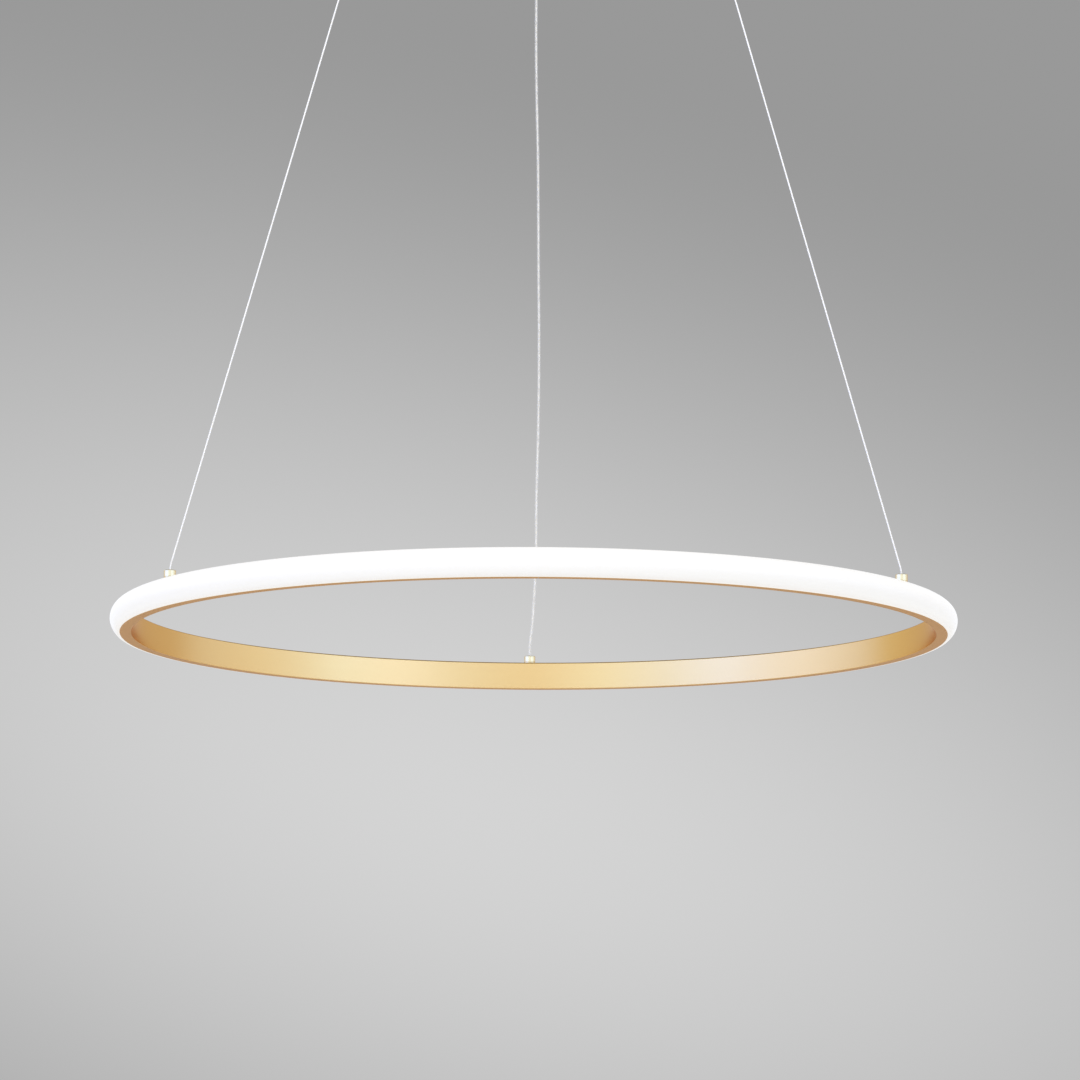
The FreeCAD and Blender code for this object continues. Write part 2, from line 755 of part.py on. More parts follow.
def entry_grommet():
    """Rubber grommet in the bracket's mains entry."""
    bore, neck, flange = size("grommet_bore"), size("entry_radius"), size("grommet_flange_radius")
    height, top = size("grommet_flange_height"), size("grommet_flange_height") + size("bracket_thickness")
    body = turned("entry_grommet", [
        (bore, 0), (flange, 0), (flange, height), (neck, height), (neck, top), (bore, top),
    ])
    place(body, z=-top)
    keep(body, "entry_grommet")


def earth_screw():
    """Earth screw under the bracket, with its domed head and its driver slot."""
    shank, head, height = size("earth_screw_radius"), size("earth_head_radius"), size("earth_head_height")
    washer, thick = size("earth_washer_height"), size("bracket_thickness")
    top = height + washer + thick - size("hole_clearance")
    edge = size("barrel_edge")
    body = turned("earth_screw", [
        (0, 0), (head - edge, 0), (head, edge), (head, height), (shank, height), (shank, top), (0, top),
    ])
    sketch = new_sketch(body, "XY_Plane")
    draw_box(sketch, -head * 2, -edge, head * 2, edge)
    pocket(body, sketch, size("stud_slot_depth"), backwards=True)
    place(body, -size("earth_place"), 0, -(thick + washer + height))
    keep(body, "earth_screw")


def earth_washer():
    """Washer between the earth screw's head and the bracket."""
    bore, outer = size("earth_screw_radius") + size("slip_clearance"), size("earth_washer_radius")
    height = size("earth_washer_height")
    body = turned("earth_washer", [(bore, 0), (outer, 0), (outer, height), (bore, height)])
    place(body, -size("earth_place"), 0, -(size("bracket_thickness") + height))
    keep(body, "earth_washer")


def terminal_block():
    """Three-way terminal block under the bracket, with entries at both sides and wells below."""
    length, deep, height = size("terminal_length"), size("terminal_depth"), size("terminal_height")
    body = new_body("terminal_block")
    plan = new_sketch(body, "XY_Plane")
    draw_box(plan, -length / 2, -deep / 2, length / 2, deep / 2)
    pad(body, plan, height)
    entries = new_sketch(body, "XZ_Plane")
    wells = new_sketch(body, "XY_Plane")
    for step in (-1, 0, 1):
        draw_circle(entries, size("terminal_pitch") * step if step else 0, height / 2, size("terminal_entry_radius"))
        draw_circle(wells, size("terminal_pitch") * step if step else 0, 0, size("terminal_well_radius"))
    pocket(body, entries, middle=True)
    pocket(body, wells, size("terminal_well_depth"), backwards=True)
    place(body, size("terminal_place"), 0, -(size("bracket_thickness") + height))
    keep(body, "terminal_block")


def terminal_screws():
    """Clamp screws in the terminal block's wells."""
    screws = []
    sink = size("terminal_well_depth") - size("terminal_screw_height")
    level = -(size("bracket_thickness") + size("terminal_height")) + sink
    for step in (-1, 0, 1):
        screw = solid_cylinder(f"terminal_screw_{step + 2}", size("terminal_well_radius") - size("hole_clearance"),
                               size("terminal_screw_height"))
        screws.append(place(screw, size("terminal_place") + size("terminal_pitch") * step, 0, level))
    keep(group("terminal_screws", screws), "terminal_screws")


# Driver
def driver_level():
    """Level of the driver's foot, on its pads in the cup."""
    return cup_underside() + size("cup_wall") + size("pad_thickness")


def rounded_block(name, length, width, height, edge):
    """Makes a block that stands on the XY plane, with its upright edges rounded."""
    body = new_body(name)
    plan = new_sketch(body, "XY_Plane")
    out_x, out_y = length / 2, width / 2
    in_x, in_y = out_x - edge, out_y - edge
    draw_outline(plan, [
        (-in_x, -out_y), (in_x, -out_y, edge), (out_x, -in_y), (out_x, in_y, edge),
        (in_x, out_y), (-in_x, out_y, edge), (-out_x, in_y), (-out_x, -in_y, edge),
    ])
    pad(body, plan, height)
    return body


def driver_case():
    """Driver's sealed case."""
    body = rounded_block("driver_case", size("driver_length"), size("driver_width"), size("driver_height"),
                         size("driver_edge"))
    place(body, z=driver_level())
    keep(body, "driver_case")


def driver_cover(side, way):
    """Terminal cover at one end of the driver, with its cord entry."""
    body = rounded_block(f"driver_cover_{side}", size("cover_length"), size("driver_width"), size("driver_height"),
                         size("driver_edge"))
    entry = new_sketch(body, "YZ_Plane")
    draw_circle(entry, 0, size("driver_height") / 2, size("cover_entry_radius"))
    pocket(body, entry, middle=True)
    middle = (size("driver_length") + size("cover_length")) / 2
    place(body, middle * way, 0, driver_level())
    keep(body, f"driver_cover_{side}")


def driver_pads():
    """Foam pads that stick the driver to the cup's floor."""
    pads = []
    for side, way in (("left", -1), ("right", 1)):
        block = DOCUMENT.addObject("Part::Box", f"driver_pad_{side}")
        block.setExpression("Length", size("pad_length").formula)
        block.setExpression("Width", size("driver_width").formula)
        block.setExpression("Height", size("pad_thickness").formula)
        x = size("pad_spacing") / 2 * way - size("pad_length") / 2
        pads.append(place(block, x, -size("driver_width") / 2, cup_underside() + size("cup_wall")))
    keep(group("driver_pads", pads), "driver_pads")


# Wire grippers
def gripper_floor():
    """Level of a gripper barrel's mouth."""
    return cup_underside() - size("barrel_length")


def gripper_body(side):
    """Gripper barrel with its guide, clamping cone, spring room and threaded stem."""
    guide = size("nozzle_radius") + size("hole_clearance")
    barrel, stem, cavity = size("barrel_radius"), size("stem_radius"), size("cavity_radius")
    edge, mouth, length = size("barrel_edge"), size("guide_depth"), size("barrel_length")
    cone_top = mouth + size("cone_length")
    top = length + size("stem_length")
    body = turned(f"gripper_body_{side}", [
        (guide, 0), (barrel - edge, 0), (barrel, edge), (barrel, length), (stem, length), (stem, top),
        (cavity, top), (cavity, cone_top), (size("cone_high_radius"), cone_top),
        (size("cone_low_radius"), mouth), (guide, mouth),
    ])
    x, y = along(exit_circle(), size(f"{side}_angle"))
    place(body, x, y, gripper_floor())
    keep(body, f"gripper_body_{side}")


def cone_radius(height):
    """Radius of the clamping cone at a height above the barrel's mouth."""
    taper = (size("cone_high_radius") - size("cone_low_radius")) / size("cone_length")
    return size("cone_low_radius") + (height - size("guide_depth")) * taper


def jaw_foot():
    """Height of the jaws' lower ends above the barrel's mouth."""
    return size("guide_depth") + size("slip_clearance") + size("collar_height")


def jaw_top():
    """Height of the jaws' upper ends above the barrel's mouth."""
    return size("guide_depth") + size("cone_length")


def gripper_plunger(side):
    """Hollow plunger, whose nozzle is pushed up to lift the jaws and free the wire."""
    bore = size("wire_radius") + size("line_clearance")
    nozzle, collar = size("nozzle_radius"), size("collar_radius")
    top = size("nozzle_length") + jaw_foot()
    step = top - size("collar_height")
    edge = size("slip_clearance") * 6
    body = turned(f"gripper_plunger_{side}", [
        (bore, 0), (nozzle - edge, 0), (nozzle, edge), (nozzle, step), (collar, step), (collar, top), (bore, top),
    ])
    x, y = along(exit_circle(), size(f"{side}_angle"))
    place(body, x, y, line_exit())
    keep(body, f"gripper_plunger_{side}")


def gripper_jaws(side):
    """Three tapered jaws round the wire, wedged in the barrel's cone and standing on the plunger."""
    grip, clear = size("wire_radius") + size("slip_clearance"), size("slip_clearance")
    foot, top = jaw_foot(), jaw_top()
    body = new_body(f"gripper_jaws_{side}", several=True)
    jaw = revolve(body, [[
        (grip, foot), (cone_radius(foot) - clear, foot), (cone_radius(top) - clear, top), (grip, top),
    ]], size("jaw_angle"))
    repeat_round(body, [jaw], 3)
    x, y = along(exit_circle(), size(f"{side}_angle"))
    place(body, x, y, gripper_floor())
    keep(body, f"gripper_jaws_{side}")


def gripper_spring(side):
    """Spring between the jaws and the plug."""
    outer, inner = size("spring_radius"), size("spring_radius") - size("spring_wire")
    height = size("barrel_length") + size("stem_length") - size("plug_height") - jaw_top()
    body = turned(f"gripper_spring_{side}", [(inner, 0), (outer, 0), (outer, height), (inner, height)])
    x, y = along(exit_circle(), size(f"{side}_angle"))
    place(body, x, y, gripper_floor() + jaw_top())
    keep(body, f"gripper_spring_{side}")


def gripper_plug(side):
    """Plug screwed into the stem, which the spring pushes on."""
    bore, outer = size("wire_radius") + size("line_clearance"), size("cavity_radius") - size("slip_clearance")
    height = size("plug_height")
    body = turned(f"gripper_plug_{side}", [(bore, 0), (outer, 0), (outer, height), (bore, height)])
    x, y = along(exit_circle(), size(f"{side}_angle"))
    place(body, x, y, cup_underside() + size("stem_length") - height)
    keep(body, f"gripper_plug_{side}")


def lock_nut(side):
    """Hexagon nut on a stem, on the cup's floor."""
    prism = DOCUMENT.addObject("Part::Prism", f"nut_blank_{side}")
    prism.Polygon = 6
    prism.setExpression("Circumradius", (size("nut_width") / math.sqrt(3)).formula)
    prism.setExpression("Height", size("nut_height").formula)
    bore = solid_cylinder(f"nut_bore_{side}", size("stem_radius") + size("slip_clearance"), size("nut_height"))
    nut = DOCUMENT.addObject("Part::Cut", f"lock_nut_{side}")
    nut.Base = prism
    nut.Tool = bore
    x, y = along(exit_circle(), size(f"{side}_angle"))
    place(nut, x, y, cup_underside() + size("cup_wall"))
    keep(nut, f"lock_nut_{side}")


def line_tail(name, side, radius):
    """Line through its grip and a little way into the cup."""
    length = size("nozzle_length") + size("barrel_length") + size("stem_length") + size("tail_length")
    tail = solid_cylinder(name, radius, length)
    x, y = along(exit_circle(), size(f"{side}_angle"))
    place(tail, x, y, line_exit())
    keep(tail, name)


# Cord grip
def grip_length():
    """Length of the cord grip's barrel, which ends its bush level with the grippers' nozzles."""
    return size("barrel_length") + size("nozzle_length") - size("bush_flange_height")


def cord_grip_body():
    """Barrel and threaded stem that hold the feed cord in a bush with a side screw."""
    bush = size("cord_radius") + size("slip_clearance") + size("bush_wall") + size("slip_clearance")
    cord = size("cord_radius") + size("hole_clearance")
    barrel, stem, edge = size("barrel_radius"), size("stem_radius"), size("barrel_edge")
    length, depth = grip_length(), size("bush_depth")
    top = length + size("stem_length")
    body = turned("cord_grip_body", [
        (bush, 0), (barrel - edge, 0), (barrel, edge), (barrel, length), (stem, length), (stem, top),
        (cord, top), (cord, depth), (bush, depth),
    ])
    sketch = new_sketch(body, "XZ_Plane")
    draw_circle(sketch, 0, size("grip_screw_level"), size("grip_screw_radius") + size("slip_clearance"))
    pocket(body, sketch, barrel * 2)
    x, y = along(exit_circle(), size("rear_angle"))
    place(body, x, y, cup_underside() - length)
    keep(body, "cord_grip_body")


def cord_grip_bush():
    """Soft bush round the feed cord, with a flange under the barrel."""
    bore = size("cord_radius") + size("slip_clearance")
    outer, flange = bore + size("bush_wall"), size("bush_flange_radius")
    height = size("bush_flange_height")
    top = height + size("bush_depth") - size("slip_clearance")
    body = turned("cord_grip_bush", [
        (bore, 0), (flange, 0), (flange, height), (outer, height), (outer, top), (bore, top),
    ])
    x, y = along(exit_circle(), size("rear_angle"))
    place(body, x, y, line_exit())
    keep(body, "cord_grip_bush")


def cord_grip_screw():
    """Side screw that presses the bush onto the cord."""
    bush = size("cord_radius") + size("slip_clearance") * 2 + size("bush_wall")
    length = size("barrel_radius") - bush - size("grip_screw_sink")
    screw = solid_cylinder("cord_grip_screw", size("grip_screw_radius"), length)
    x, y = along(exit_circle(), size("rear_angle"))
    place(screw, x, y + bush, cup_underside() - grip_length() + size("grip_screw_level"), -90, (1, 0, 0))
    keep(screw, "cord_grip_screw")


# The three lines
def tube_along(label, points, radius):
    """Sweeps a round section along straight runs joined by arcs, and prints what came out."""
    edges = []
    start = points[0]
    radii = []
    for before, corner, after in zip(points, points[1:], points[2:]):
        arriving, leaving = corner - before, after - corner
        half_turn = arriving.getAngle(leaving) / 2
        reach = ARC_SHARE * min(arriving.Length, leaving.Length)
        bend = reach / math.tan(half_turn)
        radii.append(bend)
        first = corner - Vector(arriving).normalize() * reach
        last = corner + Vector(leaving).normalize() * reach
        inward = (Vector(leaving).normalize() - Vector(arriving).normalize()).normalize()
        middle = corner + inward * (bend / math.cos(half_turn) - bend)
        edges += [Part.LineSegment(start, first).toShape(), Part.Arc(first, middle, last).toShape()]
        start = last
    edges.append(Part.LineSegment(start, points[-1]).toShape())
    path = Part.Wire(edges)
    section = Part.Wire([Part.Circle(points[0], points[1] - points[0], radius).toShape()])
    solid = path.makePipeShell([section], True, False)
    expected = math.pi * radius * radius * path.Length
    share = solid.Volume / expected
    print(f"{label}: {path.Length:.1f} mm long, bends {[round(bend) for bend in radii]}, volume share {share:.4f}")
    if abs(share - 1) > 0.01:
        raise RuntimeError(f"{label} is not a whole tube")
    item = DOCUMENT.addObject("Part::Feature", label)
    item.Shape = solid
    keep(item, label)


def line_ends():
    """Returns a line's radius and level at the exit, the two bends and the lower end."""
    top, foot = line_exit(), socket_level(line_foot())
    mouth = socket_level(size("socket_height"))
    exit_radius, socket_radius = exit_circle().value, socket_circle().value
    return (
        (exit_radius, top.value),
        (exit_radius, (top - size("top_run")).value),
        (socket_radius, (mouth + size("bottom_run")).value),
        (socket_radius, foot.value),
    )


def suspension_wire(side):
    """Taut steel wire from its gripper's nozzle to its socket."""
    angle = math.radians(size(f"{side}_angle").value)
    points = [Vector(radius * math.cos(angle), radius * math.sin(angle), level) for radius, level in line_ends()]
    tube_along(f"suspension_wire_{side}", points, size("wire_radius").value)


def feed_cord():
    """Clear cord from the cord grip to the rear socket, a little bent along its way."""
    top, upper_bend, lower_bend, foot = line_ends()
    bottom = ring_bottom().value
    rise = upper_bend[1] - lower_bend[1]
    fall = lower_bend[0] - upper_bend[0]
    points = [Vector(0, *foot), Vector(0, *lower_bend)]
    for sideways, height in FEED_ROUTE:
        level = bottom + height
        radius = lower_bend[0] - fall * (level - lower_bend[1]) / rise
        points.append(Vector(sideways, radius, level))
    points += [Vector(0, *upper_bend), Vector(0, *top)]
    tube_along("feed_cord", points, size("cord_radius").value)


def build_ring():
    """Builds the ring and what rides on it."""
    ring_channel()
    ring_diffuser()
    led_strip()
    led_chips()
    joiner_plates()
    joiner_screws()
    for side in ("left", "right"):
        ring_socket(side, size("wire_radius"))
        line_stop(f"wire_stop_{side}", side, size("wire_radius"))
        socket_stud(side)
    ring_socket("rear", size("cord_radius"))
    line_stop("feed_stop", "rear", size("cord_radius"))
    socket_stud("rear")


def build_cup():
    """Builds the ceiling cup and what it holds."""
    ceiling_bracket()
    entry_grommet()
    earth_screw()
    earth_washer()
    terminal_block()
    terminal_screws()
    ceiling_cup()
    cup_screws()
    driver_pads()
    driver_case()
    driver_cover("left", -1)
    driver_cover("right", 1)


def build_grips():
    """Builds the two wire grippers and the cord grip."""
    for side in ("left", "right"):
        gripper_body(side)
        gripper_plunger(side)
        gripper_jaws(side)
        gripper_spring(side)
        gripper_plug(side)
        lock_nut(side)
        line_tail(f"wire_tail_{side}", side, size("wire_radius"))
    cord_grip_body()
    cord_grip_bush()
    cord_grip_screw()
    lock_nut("rear")
    line_tail("feed_tail", "rear", size("cord_radius"))


def build_lines():
    """Builds the free stretches of the three lines."""
    suspension_wire("left")
    suspension_wire("right")
    feed_cord()


def check_document():
    """Stops if any object failed or any sub-part has no valid solid."""
    for item in DOCUMENT.Objects:
        if {"Invalid", "Error"} & set(item.State):
            raise RuntimeError(f"{item.Label} failed: {item.State}")
    for item in KEPT:
        shape = item.Shape
        if shape.isNull() or not shape.isValid() or not shape.Solids:
            raise RuntimeError(f"{item.Label} has no valid solid")


def write_parts():
    """Writes each sub-part to its own file."""
    os.makedirs(PARTS_FOLDER, exist_ok=True)
    for item in KEPT:
        item.Shape.exportStep(os.path.join(PARTS_FOLDER, f"{item.Label}.step"))


def main():
    """Builds every sub-part, checks them and writes them."""
    build_ring()
    build_cup()
    build_grips()
    build_lines()
    DOCUMENT.recompute()
    check_document()
    write_parts()
    print(f"{len(KEPT)} sub-parts written")


main()
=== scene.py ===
"""Looks of the ring pendant: a gold ring with a lit opal cover, its three lines and its ceiling cup.

Every length is in metres, in the frame of the solid model: the origin is on the ceiling, +Z points up,
+X to the right and +Y to the rear, where the feed cord hangs.
"""

import json
import logging
import math
from dataclasses import dataclass
from enum import Enum
from typing import Sequence

import bmesh
import bpy
from mathutils import Matrix, Vector


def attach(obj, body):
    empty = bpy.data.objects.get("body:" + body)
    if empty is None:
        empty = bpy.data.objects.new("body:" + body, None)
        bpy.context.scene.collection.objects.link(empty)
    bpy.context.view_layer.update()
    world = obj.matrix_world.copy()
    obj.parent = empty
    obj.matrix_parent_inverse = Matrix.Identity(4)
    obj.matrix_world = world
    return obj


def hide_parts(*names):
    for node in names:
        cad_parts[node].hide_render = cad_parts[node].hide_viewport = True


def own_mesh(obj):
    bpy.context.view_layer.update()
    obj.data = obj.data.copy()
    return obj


LOG = logging.getLogger("ring_pendant")

Point = tuple[float, float, float]
Range = tuple[float, float]
Colour = tuple[float, float, float]
Stops = Sequence[tuple[float, Colour]]
Corner = tuple[float, ...]
Mesh = bmesh.types.BMesh
Socket = bpy.types.NodeSocket

# Sizes that several pieces share
RING_BOTTOM = -1.084
RING_TOP = -1.0575
SOCKET_CIRCLE = 0.385
EXIT_CIRCLE = 0.088
CUP_DEPTH = 0.045
CUP_SHEET = 0.0012
WIRE_RADIUS = 0.00075
CORD_RADIUS = 0.0015
GROOVE_DEPTH = 0.00025
GROOVE_LEAN = 0.0001

# How meshes are finished
UPRIGHT = (0, 0, 1)
SHARP_ANGLE = math.radians(32)
SAME_POINT = 1e-7
# In reaches of a rounding: where the point that keeps a side flat lies, and how long such a side is
FLAT_POINT = 1.5
FLAT_SIDE = 4


class Body(str, Enum):
    """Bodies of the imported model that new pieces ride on."""

    CANOPY = "canopy"
    RING = "ring"
    PLUNGER_LEFT = "plunger_left"
    PLUNGER_RIGHT = "plunger_right"


class Slot(str, Enum):
    """Material slots of the record."""

    GOLD_CHANNEL = "gold_aluminium"
    GOLD_SHEET = "gold_sheet"
    GOLD_METAL = "gold_metal"
    PLAIN_BRASS = "plain_brass"
    OPAL = "opal_cover"
    STRIP = "strip_board"
    CHIP = "light_chip"
    ZINC = "zinc_steel"
    BRIGHT_STEEL = "bright_steel"
    HARD_STEEL = "hard_steel"
    WIRE = "wire_steel"
    RUBBER = "black_rubber"
    FOAM = "black_foam"
    WHITE_PLASTIC = "white_plastic"
    IVORY = "ivory_plastic"
    NYLON = "clear_nylon"
    CORD = "clear_cord"


class Side(str, Enum):
    """Places of the three lines round the ring."""

    LEFT = "left"
    RIGHT = "right"
    REAR = "rear"

    def at(self, circle: float, level: float = 0.0) -> Point:
        """Gives the place of this line on a circle of a radius, at a level."""
        angle = math.radians({"left": 210.0, "right": 330.0, "rear": 90.0}[self.value])
        return circle * math.cos(angle), circle * math.sin(angle), level


# Finishes
def fill(tree: bpy.types.NodeTree, node: bpy.types.Node, **inputs: object) -> bpy.types.Node:
    """Fills a node's inputs, which are named with underscores for spaces.

    Args:
        tree: the node tree.
        node: the node.
        inputs: an output to link or a constant to set, by input.

    Returns:
        The node.
    """
    for name, source in inputs.items():
        target = node.inputs[name.replace("_", " ")]
        if isinstance(source, Socket):
            tree.links.new(source, target)
        else:
            target.default_value = source
    return node


def added(tree: bpy.types.NodeTree, kind: str, **inputs: object) -> bpy.types.Node:
    """Adds a shader node of a kind and fills its inputs."""
    return fill(tree, tree.nodes.new("ShaderNode" + kind), **inputs)


def between(tree: bpy.types.NodeTree, value: Socket, bounds: Range) -> Socket:
    """Maps a value from its bounds to 0..1."""
    node = added(tree, "MapRange", Value=value, From_Min=bounds[0], From_Max=bounds[1])
    return node.outputs["Result"]


def colour_ramp(tree: bpy.types.NodeTree, value: Socket, stops: Stops, run: str = "LINEAR") -> Socket:
    """Turns a value into a colour.

    Args:
        tree: the node tree.
        value: the value to read.
        stops: pairs of position and colour.
        run: how the colours run into each other.

    Returns:
        The colour.
    """
    node = added(tree, "ValToRGB", Fac=value)
    ramp = node.color_ramp
    ramp.interpolation = run
    while len(ramp.elements) < len(stops):
        ramp.elements.new(0.5)
    for element, (position, colour) in zip(ramp.elements, stops):
        element.position = position
        element.color = (*colour, 1.0)
    return node.outputs["Color"]


class Recipe:
    """Nodes of one procedural material, laid out as it is made."""

    def __init__(self, name: str, finish: "Finish") -> None:
        """Makes a material.

        Args:
            name: the material's name.
            finish: what lays out its nodes.
        """
        self.material = bpy.data.materials.new(name)
        self.material.use_nodes = True
        self.tree = self.material.node_tree
        self.place = added(self.tree, "TexCoord").outputs["Object"]
        finish.lay_out(self)

    def skin(self, **inputs: object) -> None:
        """Fills the surface's inputs, which are named with underscores for spaces."""
        fill(self.tree, self.tree.nodes["Principled BSDF"], **inputs)

    def noise(self, scale: float, detail: float = 3.0, stretch: Point = (1, 1, 1)) -> Socket:
        """Gives a noise from 0 to 1 by its scale, its octaves and a factor on each axis."""
        spot = added(self.tree, "Mapping", Vector=self.place, Scale=stretch).outputs["Vector"]
        return added(self.tree, "TexNoise", Vector=spot, Scale=scale, Detail=detail).outputs["Fac"]

    def spread(self, value: Socket, bounds: Range) -> Socket:
        """Maps a value from 0..1 to its bounds."""
        mapped = added(self.tree, "MapRange", Value=value, To_Min=bounds[0], To_Max=bounds[1])
        return mapped.outputs["Result"]

    def clouds(self, scale: float, deep: Colour, bright: Colour) -> Socket:
        """Gives soft clouds of a deeper and a brighter colour."""
        return colour_ramp(self.tree, self.noise(scale, detail=2.0), ((0.3, deep), (0.7, bright)))

    def relief(self, value: Socket, height: float, strength: float) -> Socket:
        """Gives the normals of a fine relief, by its height in metres and its strength."""
        bump = added(self.tree, "Bump", Height=value, Distance=height, Strength=strength)
        return bump.outputs["Normal"]

    def strands(self, waves: float) -> Socket:
        """Gives strands that wind round a tube, in the tube's own map.

        Args:
            waves: how many strands lie side by side round the tube.

        Returns:
            The strands' height, from 0 between two to 1 on top of one.
        """
        marks = added(self.tree, "TexCoord").outputs["UV"]
        # The node's bands run through ten radians over a unit of the map.
        wave = added(self.tree, "TexWave", Vector=marks, Scale=waves * 2 * math.pi / 10)
        wave.bands_direction = "DIAGONAL"
        return wave.outputs["Fac"]


@dataclass(frozen=True)
class Finish:
    """A finish, which each kind lays out in its own way."""

    def lay_out(self, recipe: Recipe) -> None:
        """Lays out the finish's nodes."""
        raise NotImplementedError


@dataclass(frozen=True)
class Grained(Finish):
    """A surface with faint clouds and a fine grain."""

    bright: Colour
    deep: Colour
    gloss: Range
    grain: float
    relief: float = 0.000005
    strength: float = 0.4
    cloud: float = 30.0
    detail: float = 3.0
    stretch: Point = (1, 1, 1)

    def lay_out(self, recipe: Recipe) -> None:
        """Lays out the clouds, and the grain in gloss and relief.

        Args:
            recipe: the empty material.
        """
        grain = recipe.noise(self.grain, self.detail, self.stretch)
        recipe.skin(
            Base_Color=recipe.clouds(self.cloud, self.deep, self.bright),
            Roughness=recipe.spread(grain, self.gloss),
            Normal=recipe.relief(grain, self.relief, self.strength),
        )


@dataclass(frozen=True)
class MouldedPlastic(Grained):
    """A plastic, rubber or foam with a moulded grain."""


@dataclass(frozen=True)
class SatinMetal(Grained):
    """A metal, whose edge colour shows where it is seen at a slant."""

    strength: float = 0.25
    cloud: float = 9.0
    detail: float = 4.0
    edge: Colour = (0.9, 0.9, 0.9)

    def lay_out(self, recipe: Recipe) -> None:
        """Lays out the metal with its clouds and grain."""
        recipe.skin(Metallic=1.0, Specular_Tint=(*self.edge, 1.0))
        super().lay_out(recipe)


@dataclass(frozen=True)
class LitOpal(Finish):
    """The lit opal cover, brightest along its crown and softer towards its edges, partly by painted shade."""

    skin: Colour = (0.38, 0.362, 0.325)
    glow: float = 0.59
    coat: float = 0.1
    gloss: Range = (0.34, 0.44)
    haze: float = 600.0
    relief: float = 0.000008
    strength: float = 0.2
    # Partly painted shade: the glow falls off towards the lower and upper edges, most at the upper one; the
    # rest of that fall is the lamp's own spread from its crown.
    lit: Stops = (
        (0.0, (0.9, 0.88, 0.86)), (0.14, (0.98, 0.98, 0.97)), (0.45, (1.0, 1.0, 1.0)),
        (0.75, (0.99, 0.99, 0.99)), (1.0, (0.84, 0.84, 0.85)),
    )

    def lay_out(self, recipe: Recipe) -> None:
        """Lays out the glow from the cover's lower edge to its upper one, and its fine haze.

        Args:
            recipe: the empty material.
        """
        level = added(recipe.tree, "SeparateXYZ", Vector=recipe.place).outputs["Z"]
        level = between(recipe.tree, level, (RING_BOTTOM, RING_TOP))
        haze = recipe.noise(self.haze, detail=2.0)
        recipe.skin(
            Base_Color=(*self.skin, 1.0), Coat_Weight=self.coat, Emission_Strength=self.glow,
            Emission_Color=colour_ramp(recipe.tree, level, self.lit),
            Roughness=recipe.spread(haze, self.gloss),
            Normal=recipe.relief(haze, self.relief, self.strength),
        )


@dataclass(frozen=True)
class Phosphor(Finish):
    """Yellow phosphor of the light chips."""

    bright: Colour = (0.98, 0.86, 0.4)
    deep: Colour = (0.9, 0.72, 0.2)
    glow: float = 1.2
    gloss: float = 0.3
    speck: float = 2500.0

    def lay_out(self, recipe: Recipe) -> None:
        """Lays out the specked and glowing phosphor."""
        specks, glow = recipe.clouds(self.speck, self.deep, self.bright), self.glow
        recipe.skin(Base_Color=specks, Emission_Color=specks, Emission_Strength=glow, Roughness=self.gloss)


@dataclass(frozen=True)
class CoatedWire(Finish):
    """Bright steel strands under a thin clear coat."""

    bright: Colour = (0.94, 0.905, 0.83)
    deep: Colour = (0.79, 0.755, 0.69)
    metal: float = 0.1
    coat: float = 0.4
    coat_gloss: float = 0.2
    gloss: Range = (0.35, 0.5)
    grain: float = 2600.0
    waves: float = 3.0
    relief: float = 0.00006
    strength: float = 0.5

    def lay_out(self, recipe: Recipe) -> None:
        """Lays out the twisted strands, with painted shade in the hollow between two of them.

        Args:
            recipe: the empty material.
        """
        # Painted shade: the deep colour lies in the hollows between strands, the bright one on their tops.
        strands = recipe.strands(self.waves)
        recipe.skin(
            Metallic=self.metal, Coat_Weight=self.coat, Coat_Roughness=self.coat_gloss,
            Base_Color=colour_ramp(recipe.tree, strands, ((0.1, self.deep), (0.5, self.bright))),
            Roughness=recipe.spread(recipe.noise(self.grain), self.gloss),
            Normal=recipe.relief(strands, self.relief, self.strength),
        )


@dataclass(frozen=True)
class ClearJacket(Finish):
    """Clear, slightly hazy jacket of the feed cord."""

    tint: Colour = (0.95, 0.93, 0.88)
    body: float = 0.2
    bending: float = 1.4
    gloss: Range = (0.06, 0.16)
    haze: float = 500.0
    stretch: Point = (1, 1, 0.3)

    def lay_out(self, recipe: Recipe) -> None:
        """Lays out the see-through jacket."""
        gloss = recipe.spread(recipe.noise(self.haze, detail=2.0, stretch=self.stretch), self.gloss)
        recipe.skin(Base_Color=(*self.tint, 1.0), Alpha=self.body, IOR=self.bending, Roughness=gloss)


@dataclass(frozen=True)
class TinnedCore(Finish):
    """Tinned strands inside the feed cord."""

    bright: Colour = (0.9, 0.86, 0.76)
    deep: Colour = (0.76, 0.72, 0.64)
    gloss: Range = (0.3, 0.5)
    bead: float = 420.0
    stretch: Point = (1, 1, 0.25)
    waves: float = 1.5
    relief: float = 0.00003
    strength: float = 0.4

    def lay_out(self, recipe: Recipe) -> None:
        """Lays out the strands with a painted gleam: brighter beads in their colour, standing for the light
        that the jacket would throw on them.

        Args:
            recipe: the empty material.
        """
        # Painted highlight: this noise lightens the strands' colour in beads of gleam, and also sets their
        # gloss.
        gleam_noise = recipe.noise(self.bead, detail=4.0, stretch=self.stretch)
        recipe.skin(
            Base_Color=colour_ramp(recipe.tree, gleam_noise, ((0.3, self.deep), (0.5, self.bright))),
            Roughness=recipe.spread(gleam_noise, self.gloss),
            Normal=recipe.relief(recipe.strands(self.waves), self.relief, self.strength),
        )


@dataclass(frozen=True)
class PaleFloor(Finish):
    """Matt pale floor of the studio."""

    bright: Colour = (0.84, 0.822, 0.78)
    deep: Colour = (0.81, 0.792, 0.75)
    gloss: float = 0.9
    sheen: float = 0.05
    cloud: float = 0.8

    def lay_out(self, recipe: Recipe) -> None:
        """Lays out the clouded floor."""
        colour = recipe.clouds(self.cloud, self.deep, self.bright)
        recipe.skin(Base_Color=colour, Roughness=self.gloss, Specular_IOR_Level=self.sheen)


GOLD_EDGE = (0.76, 0.56, 0.42)
